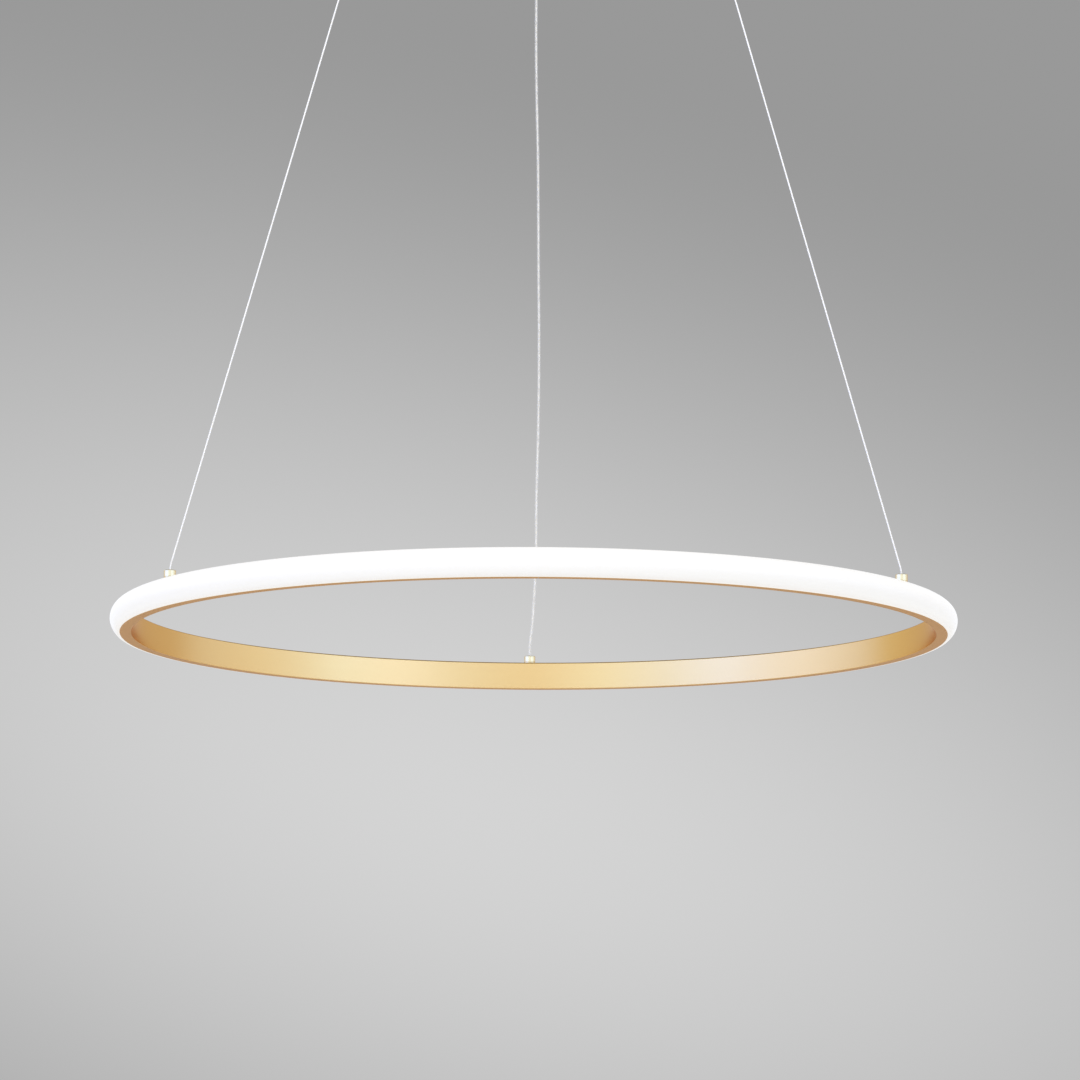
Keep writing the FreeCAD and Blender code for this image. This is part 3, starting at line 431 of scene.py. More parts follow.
# Metals and plastics are told by bright colour, deep colour, gloss, grain and height of the relief.
FINISHES = {
    Slot.GOLD_CHANNEL: SatinMetal(
        (0.9, 0.61, 0.25), (0.895, 0.6, 0.24), (0.2, 0.24), 260, 0.000001, stretch=(1, 1, 14),
        edge=GOLD_EDGE),
    Slot.GOLD_SHEET: SatinMetal(
        (0.92, 0.69, 0.35), (0.89, 0.65, 0.31), (0.28, 0.36), 300, stretch=(1, 1, 6), edge=GOLD_EDGE),
    Slot.GOLD_METAL: SatinMetal(
        (1.0, 0.85, 0.5), (0.99, 0.83, 0.47), (0.24, 0.3), 900, 0.000001, edge=GOLD_EDGE),
    Slot.PLAIN_BRASS: SatinMetal((0.78, 0.6, 0.28), (0.66, 0.47, 0.2), (0.25, 0.42), 700, edge=GOLD_EDGE),
    Slot.ZINC: SatinMetal((0.66, 0.68, 0.7), (0.5, 0.53, 0.56), (0.28, 0.5), 160),
    Slot.BRIGHT_STEEL: SatinMetal((0.72, 0.72, 0.72), (0.58, 0.58, 0.59), (0.2, 0.34), 800),
    Slot.HARD_STEEL: SatinMetal((0.45, 0.45, 0.46), (0.32, 0.31, 0.3), (0.3, 0.45), 900),
    Slot.STRIP: MouldedPlastic((0.86, 0.86, 0.84), (0.8, 0.8, 0.77), (0.45, 0.6), 500, 0.00001),
    Slot.RUBBER: MouldedPlastic((0.025, 0.025, 0.026), (0.04, 0.04, 0.04), (0.6, 0.8), 900, 0.00003),
    Slot.FOAM: MouldedPlastic((0.03, 0.03, 0.03), (0.07, 0.07, 0.07), (0.85, 1.0), 1400, 0.00025),
    Slot.WHITE_PLASTIC: MouldedPlastic((0.8, 0.8, 0.79), (0.75, 0.75, 0.73), (0.42, 0.56), 1500, 0.00004),
    Slot.IVORY: MouldedPlastic((0.8, 0.75, 0.6), (0.74, 0.68, 0.52), (0.35, 0.5), 1100, 0.00002),
    Slot.NYLON: MouldedPlastic((0.82, 0.82, 0.78), (0.76, 0.76, 0.71), (0.25, 0.4), 900, 0.00001),
    Slot.OPAL: LitOpal(),
    Slot.CHIP: Phosphor(),
    Slot.WIRE: CoatedWire(),
    Slot.CORD: ClearJacket(),
}


class Finishes:
    """Makes each finish's material once."""

    def __init__(self) -> None:
        """Makes every finish of the record, and the cord's core."""
        self.made = {slot: Recipe(slot.value, finish).material for slot, finish in FINISHES.items()}
        self.core = Recipe("tinned_core", TinnedCore()).material
        LOG.info("finishes: %d", len(self.made) + 1)

    def of(self, slot: Slot) -> bpy.types.Material:
        """Gives a slot's material."""
        return self.made[slot]

    def dress_nodes(self, record: dict, nodes: dict) -> None:
        """Gives every solid of the model the material of its slot.

        Args:
            record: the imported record.
            nodes: the model's objects by name.
        """
        for entry in record["subparts"]:
            for place in nodes[entry["node"]].material_slots:
                place.material = self.of(Slot(entry["material_slot"]))
        LOG.info("nodes dressed: %d", len(record["subparts"]))


# Shapes
def spun(mesh: Mesh, parts: list, axis: Point, angle: float, steps: int, centre: Point = (0, 0, 0),
         rise: float = 0.0, merge: bool = False) -> list:
    """Spins parts of a mesh about an axis.

    Args:
        mesh: the mesh.
        parts: its points and edges that are spun.
        axis: direction of the axis.
        angle: the whole turn in radians.
        steps: how many steps it has.
        centre: a point of the axis.
        rise: how far each step climbs.
        merge: whether the last step closes on the first.

    Returns:
        The parts at their last step.
    """
    return bmesh.ops.spin(mesh, geom=parts, cent=centre, axis=axis, dvec=(0, 0, rise), angle=angle,
                          steps=steps, use_merge=merge)["geom_last"]


def fill_ends(mesh: Mesh) -> None:
    """Closes a mesh's open ends."""
    bmesh.ops.holes_fill(mesh, edges=[edge for edge in mesh.edges if edge.is_boundary])


def raised(mesh: Mesh, height: float) -> Mesh:
    """Raises a flat mesh to a solid.

    Args:
        mesh: the flat mesh.
        height: the solid's height.

    Returns:
        The same mesh.
    """
    lifted = bmesh.ops.extrude_face_region(mesh, geom=mesh.faces[:], use_keep_orig=True)["geom"]
    top = [item for item in lifted if isinstance(item, bmesh.types.BMVert)]
    bmesh.ops.translate(mesh, verts=top, vec=(0, 0, height))
    return mesh


def moved(mesh: Mesh, place: Point) -> Mesh:
    """Moves a mesh to its place."""
    bmesh.ops.translate(mesh, verts=mesh.verts[:], vec=place)
    return mesh


def joined(first: Mesh, second: Mesh) -> Mesh:
    """Adds a second mesh to a first one.

    Args:
        first: the mesh that is kept.
        second: the mesh that is added and freed.

    Returns:
        The first mesh.
    """
    holder = bpy.data.meshes.new("joined")
    second.to_mesh(holder)
    second.free()
    first.from_mesh(holder)
    bpy.data.meshes.remove(holder)
    return first


def shown(name: str, data: bpy.types.ID) -> bpy.types.Object:
    """Shows new data in the scene.

    Args:
        name: the object's name.
        data: its mesh, camera or light.

    Returns:
        The object.
    """
    made = bpy.data.objects.new(name, data)
    bpy.context.scene.collection.objects.link(made)
    return made


def upside_down(corners: Sequence[Corner], height: float) -> list[Corner]:
    """Mirrors an outline's corners at half a height, from the last one to the first."""
    return [(radius, height - level, *ease) for radius, level, *ease in reversed(corners)]


def groove(radius: float, low: float, high: float, ease: float) -> list[Corner]:
    """Gives the corners of a fine groove round a cylinder, between two heights."""
    root = radius - GROOVE_DEPTH
    return [(radius, low, ease), (root, low + GROOVE_LEAN), (root, high - GROOVE_LEAN), (radius, high, ease)]


class Outline:
    """An outline in the XZ plane, drawn corner by corner and then turned about the upright axis."""

    def __init__(self, start: Corner, *corners: Corner) -> None:
        """Draws the first sides.

        Args:
            start: radius and height of the starting point.
            corners: the corners after it, as for sides.
        """
        self.mesh = bmesh.new()
        self.first = self.last = self.mesh.verts.new((start[0], 0.0, start[1]))
        self.eased: list[tuple[bmesh.types.BMVert, float]] = []
        self.sides(*corners)

    def sides(self, *corners: Corner) -> "Outline":
        """Draws straight sides.

        Args:
            corners: radius and height of each end, and the reach of its rounding where it is eased.

        Returns:
            The outline.
        """
        for radius, height, *ease in corners:
            corner = self.mesh.verts.new((radius, 0.0, height))
            self.mesh.edges.new((self.last, corner))
            self.last = corner
            self.eased += [(corner, reach) for reach in ease]
        return self

    def bow(self, radius: float, height: float, turn: float, steps: int) -> "Outline":
        """Draws an arc about a centre.

        Args:
            radius: radius of the centre.
            height: height of the centre.
            turn: angle of the arc in degrees, positive from outside towards the top.
            steps: how many steps it has.

        Returns:
            The outline.
        """
        centre = (radius, 0.0, height)
        self.last = spun(self.mesh, [self.last], (0, -1, 0), math.radians(turn), steps, centre)[0]
        return self

    def close(self, segments: int = 3) -> "Outline":
        """Closes the outline and rounds its eased corners.

        A point on each long side beside a rounding keeps that side flat.

        Args:
            segments: facets of each rounding.

        Returns:
            The outline.
        """
        self.mesh.edges.new((self.last, self.first))
        for corner, ease in self.eased:
            for edge in [edge for edge in corner.link_edges if edge.calc_length() > FLAT_SIDE * ease]:
                bmesh.utils.edge_split(edge, corner, FLAT_POINT * ease / edge.calc_length())
            bmesh.ops.bevel(self.mesh, geom=[corner], offset=ease, offset_type="OFFSET", segments=segments,
                            profile=0.5, affect="VERTICES", material=-1, clamp_overlap=True)
        return self

    def turned(self, steps: int, gap: float = 0.0, facing: float = 0.0) -> Mesh:
        """Turns the outline about the upright axis.

        Args:
            steps: steps of the turn.
            gap: angle left open, in radians.
            facing: direction of that gap's middle, in radians.

        Returns:
            The turned mesh.
        """
        mesh = self.mesh
        start = Matrix.Rotation(facing + gap / 2, 3, "Z")
        bmesh.ops.rotate(mesh, verts=mesh.verts[:], matrix=start)
        spun(mesh, mesh.verts[:] + mesh.edges[:], UPRIGHT, 2 * math.pi - gap, steps, merge=not gap)
        bmesh.ops.remove_doubles(mesh, verts=mesh.verts[:], dist=SAME_POINT)
        if gap:
            fill_ends(mesh)
        bmesh.ops.recalc_face_normals(mesh, faces=mesh.faces[:])
        return mesh


@dataclass
class Assembly:
    """A group of pieces that shares the finishes."""

    finishes: Finishes

    def piece(self, name: str, mesh: Mesh, slot: Slot, body: Body, *nodes: str) -> bpy.types.Object:
        """Turns a mesh into a piece that stands for solids of the model.

        Args:
            name: the piece's name.
            mesh: its mesh, which is freed.
            slot: its material slot.
            body: the body that it moves with.
            nodes: the solids that it replaces.

        Returns:
            The piece.
        """
        data = bpy.data.meshes.new(name)
        for face in mesh.faces:
            face.smooth = True
        mesh.to_mesh(data)
        mesh.free()
        data.set_sharp_from_angle(angle=SHARP_ANGLE)
        data.materials.append(self.finishes.of(slot))
        made = shown(name, data)
        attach(made, body.value)
        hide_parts(*nodes)
        LOG.info("piece %s: %d faces", name, len(data.polygons))
        return made


# Ring
@dataclass
class Ring(Assembly):
    """The rolled channel, its domed cover and the three sockets."""

    steps: int = 360
    height: float = 0.0265
    inner: float = 0.3796
    outer: float = 0.3904
    wall: float = 0.0014
    flange: float = 0.0013
    lip_depth: float = 0.0008
    lip_height: float = 0.001
    edge: float = 0.00035
    top_edge: float = 0.001
    hidden_edge: float = 0.00015
    seam: float = 0.0003

    cover_edge: float = 0.3905
    cover_inside: float = 0.3982
    crown: float = 0.39984
    cover_gap: float = 0.0001
    cover_ledge: float = 0.0005
    cover_bend: float = 0.005
    cover_neck: float = 0.0024
    cover_mouth: float = 0.0033
    cover_flat: float = 0.00775
    barb_outer: float = 0.3895
    barb_inner: float = 0.3886
    barb_level: float = 0.0015
    bend_steps: int = 8
    lower_steps: int = 18
    upper_steps: int = 24

    socket_steps: int = 96
    socket_radius: float = 0.0055
    socket_height: float = 0.007
    socket_bore: float = 0.00305
    socket_roof: float = 0.0058
    line_gap: float = 0.0002
    funnel: float = 0.0008
    groove_band: Range = (0.0007, 0.0011)
    foot_edge: float = 0.00015
    fine_edge: float = 0.0001
    rim_edge: float = 0.0005

    def build(self) -> None:
        """Makes the ring's pieces."""
        self.channel()
        self.cover()
        for side in Side:
            self.socket(side)

    def channel(self) -> None:
        """Makes the channel with softly eased edges and its seam at the front."""
        lip_in, lip_low = self.outer - self.lip_depth, self.flange + self.lip_height
        lower = (
            (self.outer, 0.0, self.edge), (self.outer, lip_low, self.hidden_edge),
            (lip_in, lip_low, self.hidden_edge), (lip_in, self.flange), (self.inner + self.wall, self.flange),
        )
        outline = Outline((self.inner, self.height / 2), (self.inner, 0.0, self.edge), *lower)
        outline.sides(*upside_down(lower, self.height), (self.inner, self.height, self.top_edge))
        mesh = outline.close().turned(self.steps, self.seam / self.inner, math.radians(270))
        moved(mesh, (0, 0, RING_BOTTOM))
        self.piece("rolled_channel", mesh, Slot.GOLD_CHANNEL, Body.RING, "ring_channel")

    def cover(self) -> None:
        """Makes the domed cover: full and round below, a plain arc above, with snap edges behind the lips."""
        edge, bend = self.cover_edge, self.cover_bend
        middle, land = self.height / 2, edge + self.cover_ledge
        deep, half = self.crown - land, middle - self.cover_gap - bend
        lower = (deep ** 2 + half ** 2 - bend ** 2) / (2 * (deep - bend))
        lean = math.degrees(math.atan2(half, land - self.crown + lower))
        deep, half = self.crown - edge, middle - self.cover_gap
        upper = (deep ** 2 + half ** 2) / (2 * deep)
        outline = Outline((edge, self.cover_gap), (land, self.cover_gap))
        outline.bow(land, self.cover_gap + bend, 90 - lean, self.bend_steps)
        outline.bow(self.crown - lower, middle, lean, self.lower_steps)
        outline.bow(self.crown - upper, middle, math.degrees(math.asin(half / upper)), self.upper_steps)
        snap = (
            (self.cover_inside, self.cover_flat), (self.barb_inner, self.cover_mouth),
            (self.barb_inner, self.barb_level), (self.barb_outer, self.barb_level),
            (self.barb_outer, self.cover_neck), (edge, self.cover_neck),
        )
        outline.sides(*upside_down(snap, self.height), *snap)
        mesh = moved(outline.close().turned(self.steps), (0, 0, RING_BOTTOM))
        self.piece("domed_cover", mesh, Slot.OPAL, Body.RING, "ring_diffuser")

    def socket(self, side: Side) -> None:
        """Makes one gold socket, with a fine groove above its foot and a funnel for its line to lean in.

        Args:
            side: the line that goes into it.
        """
        mouth = (CORD_RADIUS if side is Side.REAR else WIRE_RADIUS) + self.line_gap
        bore, roof, radius, top = self.socket_bore, self.socket_roof, self.socket_radius, self.socket_height
        outline = Outline(
            (bore, 0.0), (radius, 0.0, self.foot_edge), *groove(radius, *self.groove_band, self.fine_edge),
            (radius, top, self.rim_edge), (mouth + self.funnel, top, self.fine_edge),
            (mouth + self.funnel / 4, roof), (bore, roof),
        )
        mesh = moved(outline.close(4).turned(self.socket_steps), side.at(SOCKET_CIRCLE, RING_TOP))
        self.piece(f"gold_socket_{side.value}", mesh, Slot.GOLD_METAL, Body.RING, f"ring_socket_{side.value}")


# Lines
@dataclass
class Lines(Assembly):
    """The two steel wires and the clear feed cord."""

    exit_level: float = -0.065
    upper_bend: float = -0.073
    lower_bend: float = -1.0474
    foot: float = -1.05375
    near_bend: float = 0.009
    raise_range: float = 0.6
    wire_length: float = 1.0329
    wire_pitch: float = 0.012
    wire_sides: int = 16
    wire_resolution: int = 240
    cord_length: float = 1.0332
    cord_sides: int = 24
    cord_resolution: int = 40
    core_radius: float = 0.00036
    core_pitch: float = 0.02
    core_sides: int = 8
    # The feed cord between its two bends: offset to the right, and height above the ring's lower face.
    feed_route: tuple[tuple[float, float], ...] = (
        (0.0, 0.046), (0.0024, 0.064), (0.0044, 0.096), (0.0058, 0.138), (0.0054, 0.187),
        (0.0068, 0.242), (0.0073, 0.297), (0.0071, 0.352), (0.0061, 0.408), (0.0055, 0.464),
        (0.0048, 0.52), (0.003, 0.576), (0.0019, 0.632), (0.0021, 0.688), (0.0025, 0.744),
        (0.0023, 0.8), (0.0017, 0.856), (0.0009, 0.912), (0.0004, 0.967), (0.0003, 0.996),
    )

    def build(self) -> None:
        """Makes the three lines."""
        self.wire(Side.LEFT)
        self.wire(Side.RIGHT)
        self.feed()

    def wire(self, side: Side) -> None:
        """Makes one taut wire of twisted strands.

        Args:
            side: left or right.
        """
        slant = Vector((SOCKET_CIRCLE - EXIT_CIRCLE, self.lower_bend - self.upper_bend)).normalized()
        near = slant * self.near_bend
        stops = (
            (EXIT_CIRCLE, self.exit_level), (EXIT_CIRCLE, self.upper_bend),
            (EXIT_CIRCLE + near.x, self.upper_bend + near.y),
            (SOCKET_CIRCLE - near.x, self.lower_bend - near.y),
            (SOCKET_CIRCLE, self.lower_bend), (SOCKET_CIRCLE, self.foot),
        )
        path = smooth_line([side.at(circle, level) for circle, level in stops], self.wire_resolution)
        mesh = strand(bmesh.new(), path, WIRE_RADIUS, self.wire_sides, self.wire_pitch)
        wire = self.piece(f"steel_wire_{side.value}", mesh, Slot.WIRE, Body.CANOPY,
                          f"suspension_wire_{side.value}")
        self.shortens(wire, path)

    def feed(self) -> None:
        """Makes the clear cord with two thin conductors twisted inside."""
        rise, fall = self.upper_bend - self.lower_bend, SOCKET_CIRCLE - EXIT_CIRCLE
        route = [(0.0, EXIT_CIRCLE, self.exit_level), (0.0, EXIT_CIRCLE, self.upper_bend)]
        for sideways, height in reversed(self.feed_route):
            level = RING_BOTTOM + height
            route.append((sideways, SOCKET_CIRCLE - fall * (level - self.lower_bend) / rise, level))
        route += [(0.0, SOCKET_CIRCLE, self.lower_bend), (0.0, SOCKET_CIRCLE, self.foot)]
        path = smooth_line(route, self.cord_resolution)
        mesh = strand(bmesh.new(), path, CORD_RADIUS, self.cord_sides, self.core_pitch)
        for turn in (0.0, math.pi):
            strand(mesh, path, self.core_radius, self.core_sides, self.core_pitch, self.core_radius, turn, 1)
        cord = self.piece("clear_feed_cord", mesh, Slot.CORD, Body.CANOPY, "feed_cord")
        cord.data.materials.append(self.finishes.core)
        self.shortens(cord, path)

    def shortens(self, line: bpy.types.Object, path: Sequence[Point]) -> None:
        """Gives a line its own copy of its mesh."""
        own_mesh(line)


def smooth_line(route: Sequence[Point], resolution: int) -> list[Point]:
    """Reads the points of the smooth line that a route's control points draw.

    Args:
        route: the control points.
        resolution: points for each stretch.

    Returns:
        The line's points in order.
    """
    curve = bpy.data.curves.new("route", "CURVE")
    curve.dimensions = "3D"
    curve.resolution_u = resolution
    line = curve.splines.new("NURBS")
    line.points.add(len(route) - 1)
    for point, spot in zip(line.points, route):
        point.co = (*spot, 1.0)
    line.order_u = 3
    line.use_endpoint_u = True
    holder = bpy.data.objects.new("route", curve)
    mesh = bpy.data.meshes.new_from_object(holder)
    points = [tuple(vertex.co) for vertex in mesh.vertices]
    bpy.data.meshes.remove(mesh)
    bpy.data.objects.remove(holder)
    bpy.data.curves.remove(curve)
    return points


def strand(mesh: Mesh, path: Sequence[Point], radius: float, sides: int, pitch: float,
           away: float = 0.0, turn: float = 0.0, material: int = 0) -> Mesh:
    """Adds a tube along a line, which may itself twist round that line.

    Its map counts turns of the strands lengthwise, and goes once round the tube crosswise.

    Args:
        mesh: the mesh to add to.
        path: the line's points.
        radius: the tube's radius.
        sides: points of its cross-section.
        pitch: length of one turn of its strands, and of its own twist.
        away: distance of the tube from the line.
        turn: first angle of its twist in radians.
        material: material index of its faces.

    Returns:
        The same mesh.
    """
    spots = [Vector(point) for point in path]
    marks = mesh.loops.layers.uv.verify()
    rings: list[list[bmesh.types.BMVert]] = []
    turns: list[float] = []
    cross = (spots[1] - spots[0]).orthogonal().normalized()
    length = 0.0
    for number, spot in enumerate(spots):
        before, after = spots[max(number - 1, 0)], spots[min(number + 1, len(spots) - 1)]
        ahead = (after - before).normalized()
        cross = (cross - ahead * cross.dot(ahead)).normalized()
        other = ahead.cross(cross)
        length += (spot - before).length
        twist = turn + 2 * math.pi * length / pitch
        centre = spot + (cross * math.cos(twist) + other * math.sin(twist)) * away
        angles = [2 * math.pi * side / sides for side in range(sides)]
        rings.append([mesh.verts.new(centre + (cross * math.cos(angle) + other * math.sin(angle)) * radius)
                      for angle in angles])
        turns.append(length / pitch)
    for number, (first, second) in enumerate(zip(rings, rings[1:])):
        for side in range(sides):
            beside = (side + 1) % sides
            face = mesh.faces.new((first[side], first[beside], second[beside], second[side]))
            face.material_index = material
            for loop, (along, across) in zip(face.loops, ((0, 0), (0, 1), (1, 1), (1, 0))):
                loop[marks].uv = (turns[number + along], (side + across) / sides)
    mesh.faces.new(rings[0][::-1]).material_index = material
    mesh.faces.new(rings[-1]).material_index = material
    return mesh


# Ceiling cup
@dataclass
class CeilingCup(Assembly):
    """The drawn cup and its two knurled side screws."""

    steps: int = 240
    radius: float = 0.11
    bend: float = 0.0025
    bend_steps: int = 8
    exit_radius: float = 0.0051
    exit_steps: int = 48
    floor_band: float = 0.0015
    weld: float = 0.00001
    edge: float = 0.0002
    edge_segments: int = 2
    edge_angle: float = math.radians(50)

    screw_level: float = -0.012
    head_radius: float = 0.0045
    head_length: float = 0.005
    head_steps: int = 72
    knurl: float = 0.955
    lid_band: float = 0.0006
    lid_depth: float = 0.0002
    shank_radius: float = 0.002
    shank_reach: float = 0.007
    shank_edge: float = 0.0003
    shank_steps: int = 32

    def build(self) -> None:
        """Makes the cup and its screws."""
        self.cup()
        self.screws()

    def cup(self) -> None:
        """Makes the cup: a pierced floor, a bent corner and a wall, thickened as one sheet."""
        flat = self.radius - self.bend
        mesh = bmesh.new()
        bmesh.ops.create_circle(mesh, radius=flat, segments=self.steps)
        for side in Side:
            bmesh.ops.create_circle(mesh, radius=self.exit_radius, segments=self.exit_steps,
                                    matrix=Matrix.Translation(side.at(EXIT_CIRCLE)))
        bmesh.ops.triangle_fill(mesh, use_beauty=True, edges=mesh.edges[:])
        bmesh.ops.inset_region(mesh, faces=mesh.faces[:], thickness=self.floor_band, use_boundary=True,
                               use_even_offset=True)
        moved(mesh, (0, 0, -CUP_DEPTH))
        corner = Outline((flat, -CUP_DEPTH)).bow(flat, self.bend - CUP_DEPTH, 90, self.bend_steps)
        joined(mesh, corner.sides((self.radius, 0.0)).turned(self.steps))
        bmesh.ops.remove_doubles(mesh, verts=mesh.verts[:], dist=self.weld)
        bmesh.ops.recalc_face_normals(mesh, faces=mesh.faces[:])
        if min(mesh.faces, key=lambda face: face.calc_center_median().z).normal.z > 0:
            bmesh.ops.reverse_faces(mesh, faces=mesh.faces[:])
        cup = self.piece("drawn_cup", mesh, Slot.GOLD_SHEET, Body.CANOPY, "ceiling_cup")
        thicken = cup.modifiers.new("sheet", "SOLIDIFY")
        thicken.thickness, thicken.offset = CUP_SHEET, -1.0
        ease = cup.modifiers.new("ease", "BEVEL")
        ease.width, ease.segments = self.edge, self.edge_segments
        ease.limit_method, ease.angle_limit = "ANGLE", self.edge_angle

    def screws(self) -> None:
        """Makes the two knurled screws at the cup's sides."""
        mesh = bmesh.new()
        for turn in (0.0, math.pi):
            place = Matrix.Rotation(turn, 4, "Z") @ Matrix.Translation((self.radius, 0, self.screw_level))
            screw = self.screw()
            lying = place @ Matrix.Rotation(math.pi / 2, 4, "Y")
            bmesh.ops.transform(screw, verts=screw.verts[:], matrix=lying)
            joined(mesh, screw)
        self.piece("knurled_screws", mesh, Slot.GOLD_METAL, Body.CANOPY, "cup_screws")

    def screw(self) -> Mesh:
        """Makes one upright screw, with its head above the level of the cup's wall.

        Returns:
            The screw's mesh.
        """
        head = bmesh.new()
        rim = bmesh.ops.create_circle(head, cap_ends=True, radius=self.head_radius,
                                      segments=self.head_steps)["verts"]
        bmesh.ops.scale(head, verts=rim[::2], vec=(self.knurl, self.knurl, 1.0))
        raised(head, self.head_length)
        lids = [face for face in head.faces if len(face.verts) > 4]
        bmesh.ops.inset_individual(head, faces=lids, thickness=self.lid_band, depth=-self.lid_depth)
        bmesh.ops.recalc_face_normals(head, faces=head.faces[:])
        shank = Outline(
            (0.0, 0.0), (self.shank_radius, 0.0), (self.shank_radius, -self.shank_reach, self.shank_edge),
            (0.0, -self.shank_reach),
        )
        return joined(head, shank.close().turned(self.shank_steps))


# Grips
@dataclass
class Grips(Assembly):
    """The two wire grippers below the cup, and the lock nuts inside it."""

    steps: int = 72
    barrel_radius: float = 0.0055
    barrel_length: float = 0.016
    barrel_edge: float = 0.0006
    groove_levels: Range = (0.0026, 0.0036)
    groove_width: float = 0.0005
    groove_edge: float = 0.00006
    fine_edge: float = 0.0001
    stem_radius: float = 0.005
    stem_length: float = 0.012
    thread_depth: float = 0.0004
    thread_ridges: int = 12
    cavity_radius: float = 0.00375
    cone_low: float = 0.00235
    cone_high: float = 0.00309
    cone_length: float = 0.007
    guide_depth: float = 0.003
    guide_radius: float = 0.00192

    nozzle_radius: float = 0.00182
    nozzle_length: float = 0.004
    nozzle_edge: float = 0.0004
    nozzle_steps: int = 48
    collar_radius: float = 0.00225
    collar_height: float = 0.001
    jaw_foot: float = 0.00405
    wire_bore: float = 0.00095
    bore_edge: float = 0.0002

    plug_height: float = 0.002
    press_range: float = 0.0025
    spring_middle: float = 0.0027
    spring_wire: float = 0.0003
    spring_turns: int = 9
    spring_steps: int = 20
    spring_sides: int = 8

    nut_width: float = 0.014
    nut_height: float = 0.003
    nut_gap: float = 0.00005
    nut_edge: float = 0.0003
    nut_steps: int = 48

    def build(self) -> None:
        """Makes both grippers and the three nuts."""
        for side, plunger in ((Side.LEFT, Body.PLUNGER_LEFT), (Side.RIGHT, Body.PLUNGER_RIGHT)):
            self.barrel(side)
            self.plunger(side, plunger)
            self.spring(side)
        for side in Side:
            self.nut(side)

    def barrel(self, side: Side) -> None:
        """Makes one barrel with two fine grooves, its clamping cone and its threaded stem.

        Args:
            side: left or right.
        """
        radius, length = self.barrel_radius, self.barrel_length
        outline = Outline((self.guide_radius, self.guide_depth / 2), (self.guide_radius, 0.0, self.fine_edge),
                          (radius, 0.0, self.barrel_edge))
        for low in self.groove_levels:
            outline.sides(*groove(radius, low, low + self.groove_width, self.groove_edge))
        outline.sides((radius, length, self.fine_edge), (self.stem_radius, length))
        pitch = self.stem_length / self.thread_ridges
        for ridge in range(self.thread_ridges):
            foot = length + ridge * pitch
            outline.sides((self.stem_radius - self.thread_depth, foot + pitch / 2),
                          (self.stem_radius, foot + pitch))
        top, cone_top = length + self.stem_length, self.guide_depth + self.cone_length
        outline.sides((self.cavity_radius, top), (self.cavity_radius, cone_top), (self.cone_high, cone_top),
                      (self.cone_low, self.guide_depth), (self.guide_radius, self.guide_depth))
        mesh = moved(outline.close().turned(self.steps), side.at(EXIT_CIRCLE, -CUP_DEPTH - length))
        self.piece(f"gripper_barrel_{side.value}", mesh, Slot.GOLD_METAL, Body.CANOPY,
                   f"gripper_body_{side.value}")

    def plunger(self, side: Side, body: Body) -> None:
        """Makes one plunger, whose rounded nozzle stands out of the barrel.

        Args:
            side: left or right.
            body: the body that it moves with.
        """
        top, fine = self.nozzle_length + self.jaw_foot, self.fine_edge
        step = top - self.collar_height
        outline = Outline(
            (self.wire_bore, top / 2), (self.wire_bore, 0.0, self.bore_edge),
            (self.nozzle_radius, 0.0, self.nozzle_edge), (self.nozzle_radius, step),
            (self.collar_radius, step, fine), (self.collar_radius, top, fine), (self.wire_bore, top),
        )
        level = -CUP_DEPTH - self.barrel_length - self.nozzle_length
        mesh = moved(outline.close(4).turned(self.nozzle_steps), side.at(EXIT_CIRCLE, level))
        self.piece(f"press_nozzle_{side.value}", mesh, Slot.GOLD_METAL, body,
                   f"gripper_plunger_{side.value}")

    def spring(self, side: Side) -> None:
        """Makes one coiled spring above the plunger, with its own copy of its mesh.

        Args:
            side: left or right.
        """
        foot = -CUP_DEPTH - self.barrel_length + self.guide_depth + self.cone_length
        top = -CUP_DEPTH + self.stem_length - self.plug_height
        steps = self.spring_turns * self.spring_steps
        rise = (top - foot - 2 * self.spring_wire) / steps
        start = Matrix.Translation((self.spring_middle, 0, self.spring_wire))
        mesh = bmesh.new()
        bmesh.ops.create_circle(mesh, radius=self.spring_wire, segments=self.spring_sides,
                                matrix=start @ Matrix.Rotation(math.pi / 2, 4, "X"))
        spun(mesh, mesh.verts[:] + mesh.edges[:], UPRIGHT, 2 * math.pi * self.spring_turns, steps, rise=rise)
        fill_ends(mesh)
        bmesh.ops.recalc_face_normals(mesh, faces=mesh.faces[:])
        moved(mesh, side.at(EXIT_CIRCLE, foot))
        coil = self.piece(f"coil_{side.value}", mesh, Slot.BRIGHT_STEEL, Body.CANOPY,
                          f"gripper_spring_{side.value}")
        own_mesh(coil)

    def nut(self, side: Side) -> None:
        """Makes one hexagon nut with eased corners.

        Args:
            side: the line whose grip it holds.
        """
        corner = self.nut_width / math.sqrt(3)
        mesh = bmesh.new()
        bmesh.ops.create_circle(mesh, radius=corner, segments=6,
                                matrix=Matrix.Rotation(math.radians(30), 4, "Z"))
        bmesh.ops.create_circle(mesh, radius=self.stem_radius + self.nut_gap, segments=self.nut_steps)
        bmesh.ops.triangle_fill(mesh, use_beauty=True, edges=mesh.edges[:])
        raised(mesh, self.nut_height)
        bmesh.ops.recalc_face_normals(mesh, faces=mesh.faces[:])
        outside = 0.99 * corner
        rims = [edge for edge in mesh.edges if all(vert.co.xy.length > outside for vert in edge.verts)]
        bmesh.ops.bevel(mesh, geom=rims, offset=self.nut_edge, offset_type="OFFSET", segments=2, profile=0.5,
                        affect="EDGES", material=-1, clamp_overlap=True)
        moved(mesh, side.at(EXIT_CIRCLE, -CUP_DEPTH + CUP_SHEET))
        self.piece(f"hexagon_nut_{side.value}", mesh, Slot.BRIGHT_STEEL, Body.CANOPY,
                   f"lock_nut_{side.value}")


